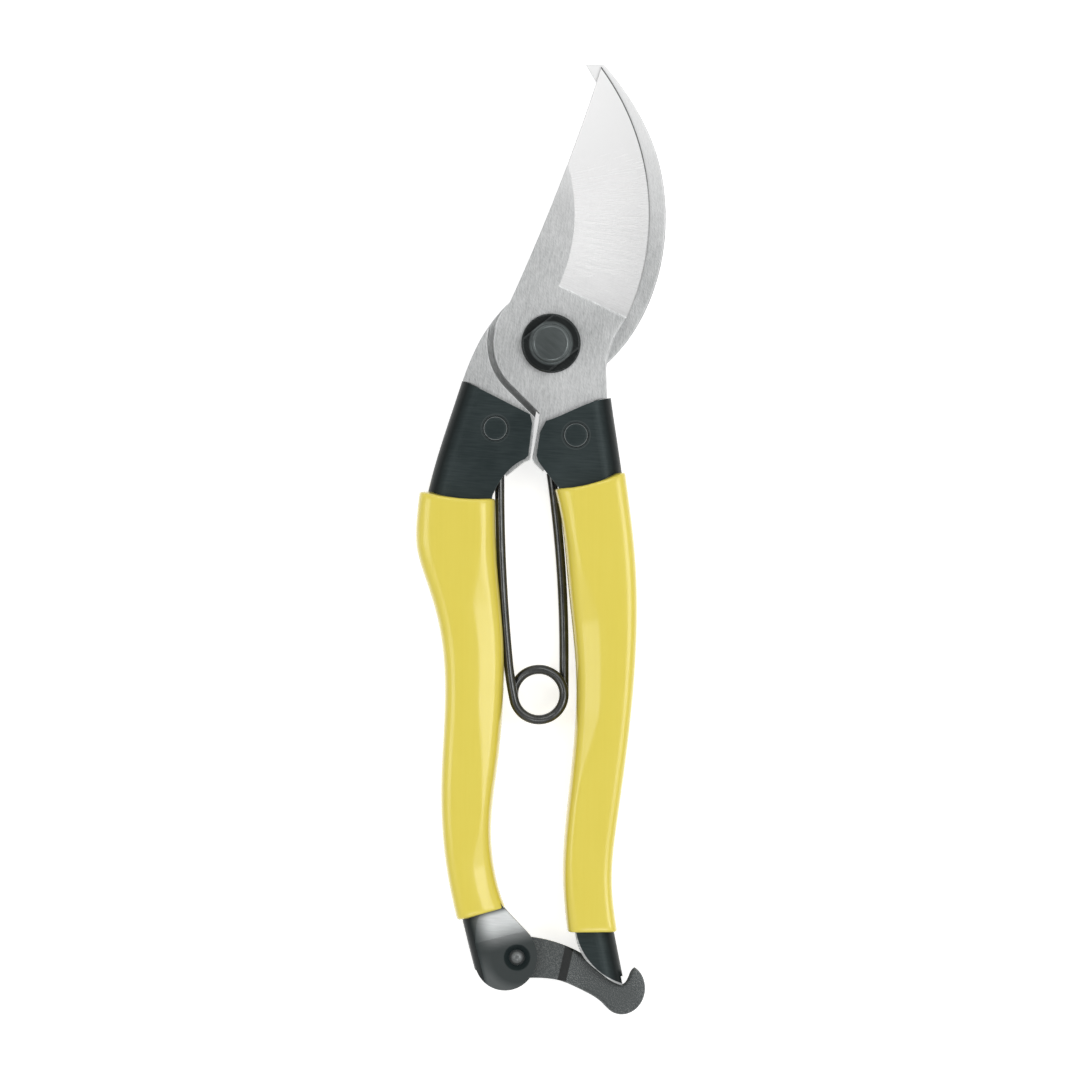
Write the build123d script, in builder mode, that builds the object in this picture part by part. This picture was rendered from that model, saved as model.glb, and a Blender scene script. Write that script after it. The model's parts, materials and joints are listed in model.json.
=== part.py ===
from build123d import *
import os
from math import acos, cos, radians, sin, sqrt, tan

# Pruning shears lying flat and shut: tip towards +Y, cutting blade on top, in millimetres.
# Sketches are drawn from the pivot axis, so every outline below is measured from there.
PIVOT_X = 2.07
PIVOT_Y = 41.2
LAP_Z = 6.9

# Forged plates, pressed sheet and sleeve
PLATE = 3.4
LAP_GAP = 0.1
SHEET = 1.6
SHANK_HALF = PLATE + SHEET
FOLD_RADIUS = 4.2
ROOM_RADIUS = 1.6
TANG_SIDE_GAP = 2.1
PLATE_EDGE = 0.3
SLEEVE_HALF = 6.9
SLEEVE_ROUND_OUT = 4.6
SLEEVE_ROUND_IN = 3.0

# Pivot
BOLT_RADIUS = 3.5
BOLT_RUNNING_GAP = 0.05
HEAD_RADIUS = 6.2
HEAD_FLAT = 4.5
HEAD_FLAT_ANGLE = 38
HEAD_HEIGHT = 1.5
DOME_RADIUS = 4.1
DOME_HEIGHT = 0.9
DOME_ROUND = 0.9
DOME_CROWN = 0.13
HEAD_WASHER_HEIGHT = 0.8
LOCK_WASHER_HEIGHT = 0.6
NUT_FLATS = 11.0
NUT_HEIGHT = 2.6
THREAD_RADIUS = 3.1

# Lap between the plates: round boss, groove beside it and where the full tang begins
BOSS_RADIUS = 12.3
GROOVE_RADIUS = 13.4
HOOK_SHOULDER_ANGLE = 165
BLADE_SHOULDER_ANGLE = -50

# Cutting edge: one arc, with a hollow-ground bevel of even width behind it
EDGE_CENTRE = (-31.2, 27.3)
EDGE_RADIUS = 52.0
EDGE_TIP_ANGLE = 36.5
EDGE_HEEL_ANGLE = -24.7
BEVEL_WIDTH = 15.8
EDGE_LAND = 0.35
HOLLOW = 0.22

# Rivets
RIVET_RADIUS = 2.0
RIVET_HEAD_RADIUS = 2.65
RIVET_GAP = 0.02
RIVET_CROWN = 0.14
RIVET_PROUD = 0.12
RIVET_SUNK = 0.02
LEFT_RIVETS = [(-11.7, -17.9), (-18.6, -36.7)]
RIGHT_RIVETS = [(5.25, -19.3), (8.2, -37.2)]

# Catch and the eye it turns on
CATCH_EYE = (-7.16, -129.14)
CATCH_HUB_RADIUS = 4.6
CATCH_HUB_HALF = 1.6
CATCH_END_HALF = 2.4
CATCH_STEP = (2.75, -127.9)
CATCH_STEP_LEAN = 12.9
CATCH_STEP_RUN = 1.85
SLOT_HALF = 2.6
CATCH_ROUND = 1.0
EYE_RADIUS = 1.2
EYE_RUNNING_GAP = 0.05
DIMPLE_RADIUS = 2.75
DIMPLE_DEPTH = 2.1
DIMPLE_FOOT = 3.2
LOBE_PINCH = 1.0
PINCH_RUN = 5.5
PINCH_START = (-14.0, -120.0)
PINCH_LEAN = 14.0
CATCH_SIDE_GAP = 0.12
SLOT_Y = -133.1

# Spring wire
WIRE = 2.0
COIL_CENTRE = (-2.57, -73.89)
COIL_RADIUS = 5.3
COIL_DROP = 3.75
COIL_START = 192
COIL_TURN = 528
LEG_BEND = 60.0
LEFT_LEG_LEAN = 3.15
LEFT_LEG_LENGTH = 38.4
RIGHT_LEG_RISE = 8.0
RIGHT_LEG_RADIUS = 231.0
RIGHT_LEG_LEAN = 9.6

# Line of the folded outer edge of each handle, run on past both ends of the sheet
LEFT_FOLD = [(-17.2, -3.0), (-18.7, -7.9), (-25.15, -28.3), (-26.65, -42.5), (-24.6, -49.8), (-22.1, -58.2),
             (-20.65, -75.0), (-21.45, -96.1), (-19.7, -116.1), (-15.95, -132.1), (-14.5, -138.0)]
RIGHT_FOLD = [(12.0, -6.0), (12.6, -11.5), (14.95, -27.7), (16.3, -58.2), (14.1, -87.7), (11.3, -109.0),
              (13.2, -123.5), (15.4, -134.7), (16.4, -140.0)]
FOLD_TOP = 1

os.makedirs("parts", exist_ok=True)


def level(z):
    return Plane(origin=(PIVOT_X, PIVOT_Y, LAP_Z + z))


def around(radius, angle, centre=(0, 0)):
    return (centre[0] + radius * cos(radians(angle)), centre[1] + radius * sin(radians(angle)))


def shifted(points, x):
    return [(px + x, py) for px, py in points]


# Edge of a solid that passes through a point given from the pivot
def edge_at(solid, x, y, z):
    return solid.edges().sort_by_distance((PIVOT_X + x, PIVOT_Y + y, LAP_Z + z))[0]


# Outline of the left handle's sheet, left wide on the side of the fold
def left_sheet():
    lobe = ThreePointArc((-15.7, -131.9), (-9.0, -136.05), (-4.6, -133.6))
    rim = ThreePointArc(lobe @ 1, (-2.95, -129.1), (-4.4, -124.6))
    mouth = Spline(rim @ 1, (-7.0, -121.8), (-10.1, -118.4), (-12.85, -113.8), (-14.1, -103.0),
                   (-12.4, -82.4), (-11.6, -67.7), (-13.1, -45.6), (-12.3, -31.9))
    throat = Spline(mouth @ 1, (-10.2, -28.2), (-7.95, -25.8), (-5.5, -24.35))
    Polyline(throat @ 1, (-4.75, -23.6), (-3.95, -16.8), (-4.4, -14.9), (-17.0, -8.5), (-20.5, -7.2),
             (-34.0, -7.2), (-34.0, -131.0), (-17.2, -131.0), lobe @ 0)


# Outline of the right handle's sheet, left wide on the side of the fold
def right_sheet():
    cut = Spline((16.9, -135.5), (14.9, -135.0), (13.0, -134.25), (9.9, -132.0), (7.0, -129.3),
                 (5.7, -126.8),
                 (5.1, -124.5))
    mouth = Spline(cut @ 1, (4.2, -110.8), (5.9, -85.6), (6.7, -73.0), (4.65, -49.8), (2.75, -35.5),
                   (1.65, -30.4))
    throat = Spline(mouth @ 1, (0.45, -28.9), (-1.0, -27.1), (-2.65, -24.9))
    waist = Polyline(throat @ 1, (-3.05, -23.6), (-2.3, -18.6), (-1.05, -16.3))
    top = Spline(waist @ 1, (4.2, -14.2), (8.2, -12.5), (11.1, -11.7))
    Polyline(top @ 1, (14.5, -11.2), (24.0, -11.2), (24.0, -135.5), cut @ 0)


# Side of a slab or of the room inside it: the fold's line, then wide past the other handle
def left_side(inset):
    line = Spline(*shifted(LEFT_FOLD, inset))
    Polyline(line @ 1, (14.0, -138.0), (14.0, -3.0), line @ 0)


def right_side(inset):
    line = Spline(*shifted(RIGHT_FOLD, -inset))
    Polyline(line @ 1, (-16.0, -140.0), (-16.0, -6.0), line @ 0)


# Part of the hook plate that stands full height: everything outside this outline
def hook_lap():
    arc = ThreePointArc(around(GROOVE_RADIUS, HOOK_SHOULDER_ANGLE), around(GROOVE_RADIUS, 195),
                        around(GROOVE_RADIUS, 225))
    Polyline(arc @ 1, (-3.0, -15.95), (0.0, -19.0), (60.0, -19.0), (60.0, 70.0), (-40.0, 70.0),
             around(40.0, HOOK_SHOULDER_ANGLE), arc @ 0)


# Part of the cutting blade that stands full height: everything outside this outline
def blade_lap():
    arc = ThreePointArc(around(GROOVE_RADIUS, BLADE_SHOULDER_ANGLE), around(GROOVE_RADIUS, -75),
                        around(GROOVE_RADIUS, -100))
    Polyline(arc @ 1, (-2.4, -15.3), (-40.0, -15.3), (-40.0, 70.0), (60.0, 70.0),
             around(75.0, BLADE_SHOULDER_ANGLE), arc @ 0)


# Hooked counter blade with its tang, behind
with BuildPart() as hook_blade:
    with BuildSketch(level(-PLATE)):
        with BuildLine():
            outer = Spline(around(BOSS_RADIUS, -22), (16.6, 1.2), (22.5, 13.8), (24.2, 27.7), (21.7, 41.6),
                           (18.1, 49.2), (11.2, 58.75))
            beak = Line(outer @ 1, (7.3, 58.75))
            inner = Spline(beak @ 1, (9.7, 54.6), (14.5, 44.9), (17.5, 27.5), (16.2, 17.6), (12.8, 12.3),
                           around(BOSS_RADIUS, 50))
            boss = ThreePointArc(inner @ 1, (0, BOSS_RADIUS), around(BOSS_RADIUS, 135))
            back = Spline(boss @ 1, (-13.05, 3.7), (-16.0, -1.4), (-18.5, -7.6))
            shoulder = Polyline(back @ 1, (-18.52, -7.86), (-17.0, -8.44),
                                (LEFT_FOLD[FOLD_TOP][0] + SHEET + TANG_SIDE_GAP, -9.46))
            side = Spline(shoulder @ 1, (-21.6, -28.3), (-23.0, -42.0))
            Polyline(side @ 1, (-22.0, -43.6), (-15.6, -43.6), (-14.2, -42.0), (-14.1, -28.0),
                     (-13.2, -27.05),
                     (-9.75, -27.05), (-9.5, -28.0), (-5.6, -24.95), (-4.4, -24.5), (-3.4, -16.0),
                     around(BOSS_RADIUS, -103))
            ThreePointArc(around(BOSS_RADIUS, -103), around(BOSS_RADIUS, -62), outer @ 0)
        make_face()
    extrude(amount=2 * PLATE)
    with BuildSketch(level(-LAP_GAP / 2)):
        with BuildLine():
            hook_lap()
        make_face()
    extrude(amount=2 * PLATE, mode=Mode.SUBTRACT)
    with BuildSketch(level(-PLATE)):
        Circle(BOLT_RADIUS + RIVET_GAP)
        with Locations(*LEFT_RIVETS):
            Circle(RIVET_RADIUS + RIVET_GAP)
    extrude(amount=2 * PLATE, mode=Mode.SUBTRACT)
    chamfer(edge_at(hook_blade, 24.2, 27.7, -LAP_GAP / 2), length=PLATE_EDGE)
    chamfer(edge_at(hook_blade, 24.2, 27.7, -PLATE), length=PLATE_EDGE)
hook_blade.part.label = "hook_blade"
export_step(hook_blade.part, "parts/hook_blade.step")

# Cutting blade with its tang, in front
with BuildPart() as cutting_blade:
    with BuildSketch(level(-PLATE)):
        with BuildLine():
            tip = around(EDGE_RADIUS, EDGE_TIP_ANGLE, EDGE_CENTRE)
            heel = around(EDGE_RADIUS, EDGE_HEEL_ANGLE, EDGE_CENTRE)
            ThreePointArc(heel, around(EDGE_RADIUS, 5, EDGE_CENTRE), tip)
            spine = ThreePointArc(tip, (1.05, 31.5), around(BOSS_RADIUS, 134.5))
            boss = ThreePointArc(spine @ 1, (-BOSS_RADIUS, 0), around(BOSS_RADIUS, 225))
            stop = Polyline(boss @ 1, (-2.45, -14.95), (-2.6, -16.6), (-3.95, -24.2), (-3.5, -25.2),
                            (-1.7, -27.0),
                            (-1.45, -26.5), (2.4, -26.5), (3.1, -27.2), (5.2, -42.0), (6.8, -43.6),
                            (11.2, -43.6),
                            (12.5, -42.0))
            side = Spline(stop @ 1, (11.65, -27.7),
                          (RIGHT_FOLD[FOLD_TOP][0] - SHEET - TANG_SIDE_GAP, -12.18))
            Polyline(side @ 1, (10.0, -11.88), (11.1, -11.62), (11.8, -11.52), (11.6, -5.4))
            Spline((11.6, -5.4), (12.4, -1.4), (14.0, 2.4), heel)
        make_face()
    extrude(amount=2 * PLATE)
    with BuildSketch(level(-PLATE)):
        with BuildLine():
            blade_lap()
        make_face()
    extrude(amount=PLATE + LAP_GAP / 2, mode=Mode.SUBTRACT)
    grind_start = radians(EDGE_HEEL_ANGLE - 0.5)
    grind_axis = (PIVOT_X + EDGE_CENTRE[0], PIVOT_Y + EDGE_CENTRE[1], LAP_Z)
    grind = Plane(origin=grind_axis, x_dir=(cos(grind_start), sin(grind_start), 0),
                  z_dir=(sin(grind_start), -cos(grind_start), 0))
    with BuildSketch(grind):
        with BuildLine():
            rise = PLATE - EDGE_LAND
            slope = ThreePointArc((EDGE_RADIUS - BEVEL_WIDTH, PLATE),
                                  (EDGE_RADIUS - BEVEL_WIDTH / 2, PLATE - rise / 2 - HOLLOW),
                                  (EDGE_RADIUS, EDGE_LAND))
            Polyline(slope @ 1, (EDGE_RADIUS + 4, EDGE_LAND), (EDGE_RADIUS + 4, PLATE + 1),
                     (EDGE_RADIUS - BEVEL_WIDTH, PLATE + 1), slope @ 0)
        make_face()
    revolve(axis=Axis(grind_axis, (0, 0, 1)), revolution_arc=70, mode=Mode.SUBTRACT)
    with BuildSketch(level(-PLATE)):
        Circle(BOLT_RADIUS + BOLT_RUNNING_GAP)
        with Locations(*RIGHT_RIVETS):
            Circle(RIVET_RADIUS + RIVET_GAP)
    extrude(amount=2 * PLATE, mode=Mode.SUBTRACT)
    chamfer([edge_at(cutting_blade, -BOSS_RADIUS, 0, PLATE), edge_at(cutting_blade, -5.6, -11.8, PLATE)],
            length=PLATE_EDGE)
    chamfer(edge_at(cutting_blade, 12.4, -1.4, PLATE), length=PLATE_EDGE)
cutting_blade.part.label = "cutting_blade"
export_step(cutting_blade.part, "parts/cutting_blade.step")

# Black washer under the bolt's head
with BuildPart() as pivot_head_washer:
    with BuildSketch(level(PLATE)):
        Circle(HEAD_RADIUS + 0.05)
        Circle(BOLT_RADIUS + RIVET_GAP, mode=Mode.SUBTRACT)
    extrude(amount=HEAD_WASHER_HEIGHT)
    chamfer(pivot_head_washer.edges().group_by(Axis.Z)[-1].sort_by(SortBy.RADIUS)[-1], length=0.2)
pivot_head_washer.part.label = "pivot_head_washer"
export_step(pivot_head_washer.part, "parts/pivot_head_washer.step")

# Bolt: head with two flats and a raised round centre, shank and threaded end
HEAD_Z = PLATE + HEAD_WASHER_HEIGHT
NUT_Z = -PLATE - LOCK_WASHER_HEIGHT - NUT_HEIGHT
with BuildPart() as pivot_bolt:
    with BuildSketch(level(HEAD_Z)):
        Circle(HEAD_RADIUS)
        Rectangle(3 * HEAD_RADIUS, 2 * HEAD_FLAT, rotation=HEAD_FLAT_ANGLE, mode=Mode.INTERSECT)
    extrude(amount=HEAD_HEIGHT)
    chamfer(pivot_bolt.faces().sort_by(Axis.Z)[-1].edges(), length=0.3)
    dome_ball = ((DOME_RADIUS - DOME_ROUND) ** 2 + DOME_CROWN ** 2) / (2 * DOME_CROWN)
    with BuildSketch(Plane(origin=(PIVOT_X, PIVOT_Y, LAP_Z + HEAD_Z + HEAD_HEIGHT), x_dir=(1, 0, 0),
                           z_dir=(0, -1, 0))):
        with BuildLine():
            Polyline((0, DOME_HEIGHT), (0, 0), (DOME_RADIUS, 0))
            brow = ThreePointArc((DOME_RADIUS, 0), (DOME_RADIUS - 0.24 * DOME_ROUND, 0.58 * DOME_HEIGHT),
                                 (DOME_RADIUS - DOME_ROUND, DOME_HEIGHT - DOME_CROWN))
            RadiusArc((0, DOME_HEIGHT), brow @ 1, dome_ball)
        make_face()
    revolve(axis=Axis((PIVOT_X, PIVOT_Y, 0), (0, 0, 1)))
    with BuildSketch(level(-PLATE)):
        Circle(BOLT_RADIUS)
    extrude(amount=PLATE + HEAD_Z)
    with BuildSketch(level(NUT_Z)):
        Circle(THREAD_RADIUS)
    extrude(amount=-PLATE - NUT_Z)
    chamfer(pivot_bolt.edges().group_by(Axis.Z)[0], length=0.3)
pivot_bolt.part.label = "pivot_bolt"
export_step(pivot_bolt.part, "parts/pivot_bolt.step")

# Washer and thin nut behind
with BuildPart() as pivot_lock_washer:
    with BuildSketch(level(-PLATE - LOCK_WASHER_HEIGHT)):
        Circle(HEAD_RADIUS + 0.3)
        Circle(THREAD_RADIUS + RIVET_GAP, mode=Mode.SUBTRACT)
    extrude(amount=LOCK_WASHER_HEIGHT)
pivot_lock_washer.part.label = "pivot_lock_washer"
export_step(pivot_lock_washer.part, "parts/pivot_lock_washer.step")

with BuildPart() as pivot_nut:
    with BuildSketch(level(NUT_Z)):
        RegularPolygon(NUT_FLATS / 2, 6, major_radius=False)
    extrude(amount=NUT_HEIGHT)
    with BuildSketch(Plane(origin=(PIVOT_X, PIVOT_Y, LAP_Z + NUT_Z), x_dir=(1, 0, 0), z_dir=(0, -1, 0))):
        with BuildLine():
            Polyline((0, 0), (NUT_FLATS / 2 - 0.1, 0), (NUT_FLATS / 2 + 1.2, 0.75),
                     (NUT_FLATS / 2 + 1.2, NUT_HEIGHT),
                     (0, NUT_HEIGHT), (0, 0))
        make_face()
    revolve(axis=Axis((PIVOT_X, PIVOT_Y, 0), (0, 0, 1)), mode=Mode.INTERSECT)
    with BuildSketch(level(NUT_Z)):
        Circle(THREAD_RADIUS + RIVET_GAP)
    extrude(amount=NUT_HEIGHT, mode=Mode.SUBTRACT)
pivot_nut.part.label = "pivot_nut"
export_step(pivot_nut.part, "parts/pivot_nut.step")

# Room inside each channel, rounded along the fold
with BuildPart() as left_cavity:
    with BuildSketch(level(-PLATE)):
        with BuildLine():
            left_side(SHEET)
        make_face()
    extrude(amount=2 * PLATE)
    fillet(left_cavity.edges().filter_by(GeomType.BSPLINE), radius=ROOM_RADIUS)

with BuildPart() as right_cavity:
    with BuildSketch(level(-PLATE)):
        with BuildLine():
            right_side(SHEET)
        make_face()
    extrude(amount=2 * PLATE)
    fillet(right_cavity.edges().filter_by(GeomType.BSPLINE), radius=ROOM_RADIUS)

# Whole outside of each channel, as the sleeve sees it
with BuildPart() as left_body:
    with BuildSketch(level(-SHANK_HALF)):
        with BuildLine():
            left_side(0)
        make_face()
    extrude(amount=2 * SHANK_HALF)
    fillet(left_body.edges().filter_by(GeomType.BSPLINE), radius=FOLD_RADIUS)
    with BuildSketch(level(-SHANK_HALF)):
        with BuildLine():
            left_sheet()
        make_face()
    extrude(amount=2 * SHANK_HALF, mode=Mode.INTERSECT)

with BuildPart() as right_body:
    with BuildSketch(level(-SHANK_HALF)):
        with BuildLine():
            right_side(0)
        make_face()
    extrude(amount=2 * SHANK_HALF)
    fillet(right_body.edges().filter_by(GeomType.BSPLINE), radius=FOLD_RADIUS)
    with BuildSketch(level(-SHANK_HALF)):
        with BuildLine():
            right_sheet()
        make_face()
    extrude(amount=2 * SHANK_HALF, mode=Mode.INTERSECT)


# Countersunk hole of a rivet, through both walls, as half of its section
def rivet_hole():
    wide = RIVET_HEAD_RADIUS + RIVET_GAP
    narrow = RIVET_RADIUS + RIVET_GAP
    over = SHANK_HALF + 0.5
    Polyline((0, -over), (0, over), (wide, over), (wide, SHANK_HALF - 0.3), (narrow, PLATE + 0.2),
             (narrow, -PLATE - 0.2), (wide, 0.3 - SHANK_HALF), (wide, -over), (0, -over))


# Flush rivet: countersunk at both ends, a little crowned
def rivet_section(top):
    middle = (RIVET_HEAD_RADIUS / 2, top - 0.25 * RIVET_CROWN)
    crown = ThreePointArc((0, top), middle, (RIVET_HEAD_RADIUS, top - RIVET_CROWN))
    Polyline(crown @ 1, (RIVET_HEAD_RADIUS, SHANK_HALF - 0.3), (RIVET_RADIUS, PLATE + 0.2),
             (RIVET_RADIUS, 0),
             (0, 0), crown @ 0)


def upright(point, z=0):
    return Plane(origin=(PIVOT_X + point[0], PIVOT_Y + point[1], LAP_Z + z), x_dir=(1, 0, 0),
                 z_dir=(0, -1, 0))


def spindle(point):
    return Axis((PIVOT_X + point[0], PIVOT_Y + point[1], 0), (0, 0, 1))


# Slope by which a wall of the left lobe is pressed inwards, seen from the side, with its upper edge at
# a height
def pinch_section(height, top):
    Polyline((0, height), (PINCH_RUN, height - LOBE_PINCH), (24.0, height - LOBE_PINCH), (24.0, top),
             (0, top), (0, height))


# Inside of the pressed-in walls
pinch_way = radians(-90 + PINCH_LEAN)
pinch_side = Plane(origin=(PIVOT_X + PINCH_START[0], PIVOT_Y + PINCH_START[1], LAP_Z),
                   x_dir=(cos(pinch_way), sin(pinch_way), 0), z_dir=(sin(pinch_way), -cos(pinch_way), 0))
with BuildPart() as lobe_lining:
    with BuildSketch(pinch_side):
        with BuildLine():
            pinch_section(PLATE, PLATE + 0.5)
        make_face()
        mirror(about=Plane.XZ)
    extrude(amount=24.0, both=True)
    add(left_body.part, mode=Mode.INTERSECT)

# Left handle: pressed channel whose lobe is pinched and dimpled inwards on the catch
with BuildPart() as left_handle_channel:
    add(left_body.part)
    add(left_cavity.part, mode=Mode.SUBTRACT)
    add(lobe_lining.part)
    with BuildSketch(pinch_side):
        with BuildLine():
            pinch_section(SHANK_HALF, SHANK_HALF + 1.0)
        make_face()
        mirror(about=Plane.XZ)
    extrude(amount=24.0, both=True, mode=Mode.SUBTRACT)
    with BuildSketch(upright(CATCH_EYE)):
        with BuildLine():
            seat = CATCH_HUB_HALF + CATCH_SIDE_GAP
            lining = PLATE - LOBE_PINCH
            Polyline((0, seat), (2.1, seat), (DIMPLE_FOOT, lining), (DIMPLE_FOOT, PLATE), (0, PLATE),
                     (0, seat))
        make_face()
        mirror(about=Plane.XZ)
    revolve(axis=spindle(CATCH_EYE))
    with BuildSketch(upright(CATCH_EYE)):
        with BuildLine():
            deep = SHANK_HALF - DIMPLE_DEPTH
            lobe_face = SHANK_HALF - LOBE_PINCH
            Polyline((0, deep), (1.75, deep), (DIMPLE_RADIUS, lobe_face), (DIMPLE_RADIUS, SHANK_HALF + 1),
                     (0, SHANK_HALF + 1), (0, deep))
        make_face()
        mirror(about=Plane.XZ)
    revolve(axis=spindle(CATCH_EYE), mode=Mode.SUBTRACT)
    with BuildSketch(level(-SHANK_HALF)):
        with Locations(CATCH_EYE):
            Circle(EYE_RADIUS + RIVET_GAP)
    extrude(amount=2 * SHANK_HALF, mode=Mode.SUBTRACT)
    for point in LEFT_RIVETS:
        with BuildSketch(upright(point)):
            with BuildLine():
                rivet_hole()
            make_face()
        revolve(axis=spindle(point), mode=Mode.SUBTRACT)
left_handle_channel.part.label = "left_handle_channel"
export_step(left_handle_channel.part, "parts/left_handle_channel.step")

# Right handle: pressed channel, slotted through the end of its fold for the catch
with BuildPart() as right_handle_channel:
    add(right_body.part)
    add(right_cavity.part, mode=Mode.SUBTRACT)
    with BuildSketch(level(-SLOT_HALF)):
        with Locations((12.0, SLOT_Y - 5.0)):
            Rectangle(12.0, 10.0)
    extrude(amount=2 * SLOT_HALF, mode=Mode.SUBTRACT)
    for point in RIGHT_RIVETS:
        with BuildSketch(upright(point)):
            with BuildLine():
                rivet_hole()
            make_face()
        revolve(axis=spindle(point), mode=Mode.SUBTRACT)
right_handle_channel.part.label = "right_handle_channel"
export_step(right_handle_channel.part, "parts/right_handle_channel.step")


# Four flush rivets through walls and tangs
RIVETS = {
    "left_upper_rivet": (LEFT_RIVETS[0], SHANK_HALF + RIVET_PROUD),
    "left_lower_rivet": (LEFT_RIVETS[1], SHANK_HALF - RIVET_SUNK),
    "right_upper_rivet": (RIGHT_RIVETS[0], SHANK_HALF + RIVET_PROUD),
    "right_lower_rivet": (RIGHT_RIVETS[1], SHANK_HALF - RIVET_SUNK),
}
for name, (point, top) in RIVETS.items():
    with BuildPart() as rivet:
        with BuildSketch(upright(point)):
            with BuildLine():
                rivet_section(top)
            make_face()
            mirror(about=Plane.XZ)
        revolve(axis=spindle(point))
    rivet.part.label = name
    export_step(rivet.part, f"parts/{name}.step")

# Sleeves: soft outline, rounded all along, cut by a shallow arc above and a line below
with BuildPart() as left_grip:
    with BuildSketch(level(-SLEEVE_HALF)):
        with BuildLine():
            outside = Spline((-26.9, -26.0), (-28.35, -38.0), (-28.3, -42.5), (-26.3, -49.8),
                             (-23.8, -58.2),
                             (-22.35, -70.0), (-23.1, -93.0), (-21.55, -113.0), (-18.85, -125.0))
            inside = Spline((-7.2, -123.5), (-9.55, -118.8), (-12.2, -108.7), (-12.6, -103.0),
                            (-11.2, -87.7), (-10.05, -68.0),
                            (-11.6, -45.6), (-12.0, -26.0))
            Line(outside @ 1, inside @ 0)
            Line(inside @ 1, outside @ 0)
        make_face()
    extrude(amount=2 * SLEEVE_HALF)
    fillet(left_grip.edges().filter_by(GeomType.BSPLINE).sort_by(Axis.X)[0:2], radius=SLEEVE_ROUND_OUT)
    fillet(left_grip.edges().filter_by(GeomType.BSPLINE).sort_by(Axis.X)[-2:], radius=SLEEVE_ROUND_IN)
    with BuildSketch(level(-SLEEVE_HALF)):
        with BuildLine():
            rim = ThreePointArc((-32.0, -29.9), (-18.8, -32.6), (-6.0, -31.9))
            Polyline(rim @ 1, (-6.0, -117.8), (-32.0, -124.3), rim @ 0)
        make_face()
    extrude(amount=2 * SLEEVE_HALF, mode=Mode.INTERSECT)
    add(left_body.part, mode=Mode.SUBTRACT)
left_grip.part.label = "left_grip"
export_step(left_grip.part, "parts/left_grip.step")

with BuildPart() as right_grip:
    with BuildSketch(level(-SLEEVE_HALF)):
        with BuildLine():
            outside = Spline((15.2, -24.0), (16.4, -33.0), (17.8, -46.0), (18.1, -58.0), (16.75, -79.2),
                             (14.0, -100.3),
                             (12.85, -112.5), (14.7, -128.0))
            inside = Spline((4.05, -128.0), (2.5, -112.9), (3.5, -96.1), (5.25, -71.5), (3.5, -49.8),
                            (1.95, -35.5),
                            (1.1, -30.6), (0.2, -26.0))
            Line(outside @ 1, inside @ 0)
            Line(inside @ 1, outside @ 0)
        make_face()
    extrude(amount=2 * SLEEVE_HALF)
    fillet(right_grip.edges().filter_by(GeomType.BSPLINE).sort_by(Axis.X)[-2:], radius=SLEEVE_ROUND_OUT)
    fillet(right_grip.edges().filter_by(GeomType.BSPLINE).sort_by(Axis.X)[0:2], radius=SLEEVE_ROUND_IN)
    with BuildSketch(level(-SLEEVE_HALF)):
        with BuildLine():
            rim = ThreePointArc((-1.5, -30.6), (8.6, -29.5), (19.0, -25.4))
            Polyline(rim @ 1, (19.0, -123.7), (-1.5, -123.9), rim @ 0)
        make_face()
    extrude(amount=2 * SLEEVE_HALF, mode=Mode.INTERSECT)
    add(right_body.part, mode=Mode.SUBTRACT)
right_grip.part.label = "right_grip"
export_step(right_grip.part, "parts/right_grip.step")

# Catch: thin hub and arm, then a step up to the thick rounded hook
with BuildPart() as catch:
    with BuildSketch(level(-CATCH_END_HALF)):
        with BuildLine():
            hub = ThreePointArc(around(CATCH_HUB_RADIUS, 75, CATCH_EYE),
                                around(CATCH_HUB_RADIUS, 180, CATCH_EYE),
                                around(CATCH_HUB_RADIUS, 285, CATCH_EYE))
            under = Spline(hub @ 1, (-1.3, -133.55), (2.0, -134.1), (6.2, -135.9), (10.6, -138.6),
                           (12.6, -140.5),
                           (14.75, -141.2), (18.0, -139.9), (19.8, -135.7), (19.2, -133.1), (17.6, -131.3))
            notch = Spline(under @ 1, (16.9, -131.9), (16.0, -133.9), (15.25, -134.75), (14.2, -134.6))
            Spline(notch @ 1, (10.0, -131.2), (6.1, -128.2), (3.2, -126.8), (-0.6, -125.55), hub @ 0)
        make_face()
    extrude(amount=2 * CATCH_END_HALF)
    for side in (CATCH_END_HALF, -CATCH_END_HALF):
        fillet([edge_at(catch, 15.1, -141.2, side), edge_at(catch, 9.3, -130.6, side),
                edge_at(catch, 16.0, -133.9, side)],
               radius=CATCH_ROUND)
    step_way = radians(CATCH_STEP_LEAN)
    with BuildSketch(Plane(origin=(PIVOT_X + CATCH_STEP[0], PIVOT_Y + CATCH_STEP[1], LAP_Z),
                           x_dir=(cos(step_way), -sin(step_way), 0),
                           z_dir=(-sin(step_way), -cos(step_way), 0))):
        with BuildLine():
            Polyline((-18.0, CATCH_HUB_HALF), (0, CATCH_HUB_HALF), (CATCH_STEP_RUN, CATCH_END_HALF),
                     (CATCH_STEP_RUN, CATCH_END_HALF + 1), (-18.0, CATCH_END_HALF + 1),
                     (-18.0, CATCH_HUB_HALF))
        make_face()
        mirror(about=Plane.XZ)
    extrude(amount=14, both=True, mode=Mode.SUBTRACT)
    with BuildSketch(level(-CATCH_END_HALF)):
        with Locations(CATCH_EYE):
            Circle(EYE_RADIUS + EYE_RUNNING_GAP)
    extrude(amount=2 * CATCH_END_HALF, mode=Mode.SUBTRACT)
catch.part.label = "catch"
export_step(catch.part, "parts/catch.step")

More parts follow.
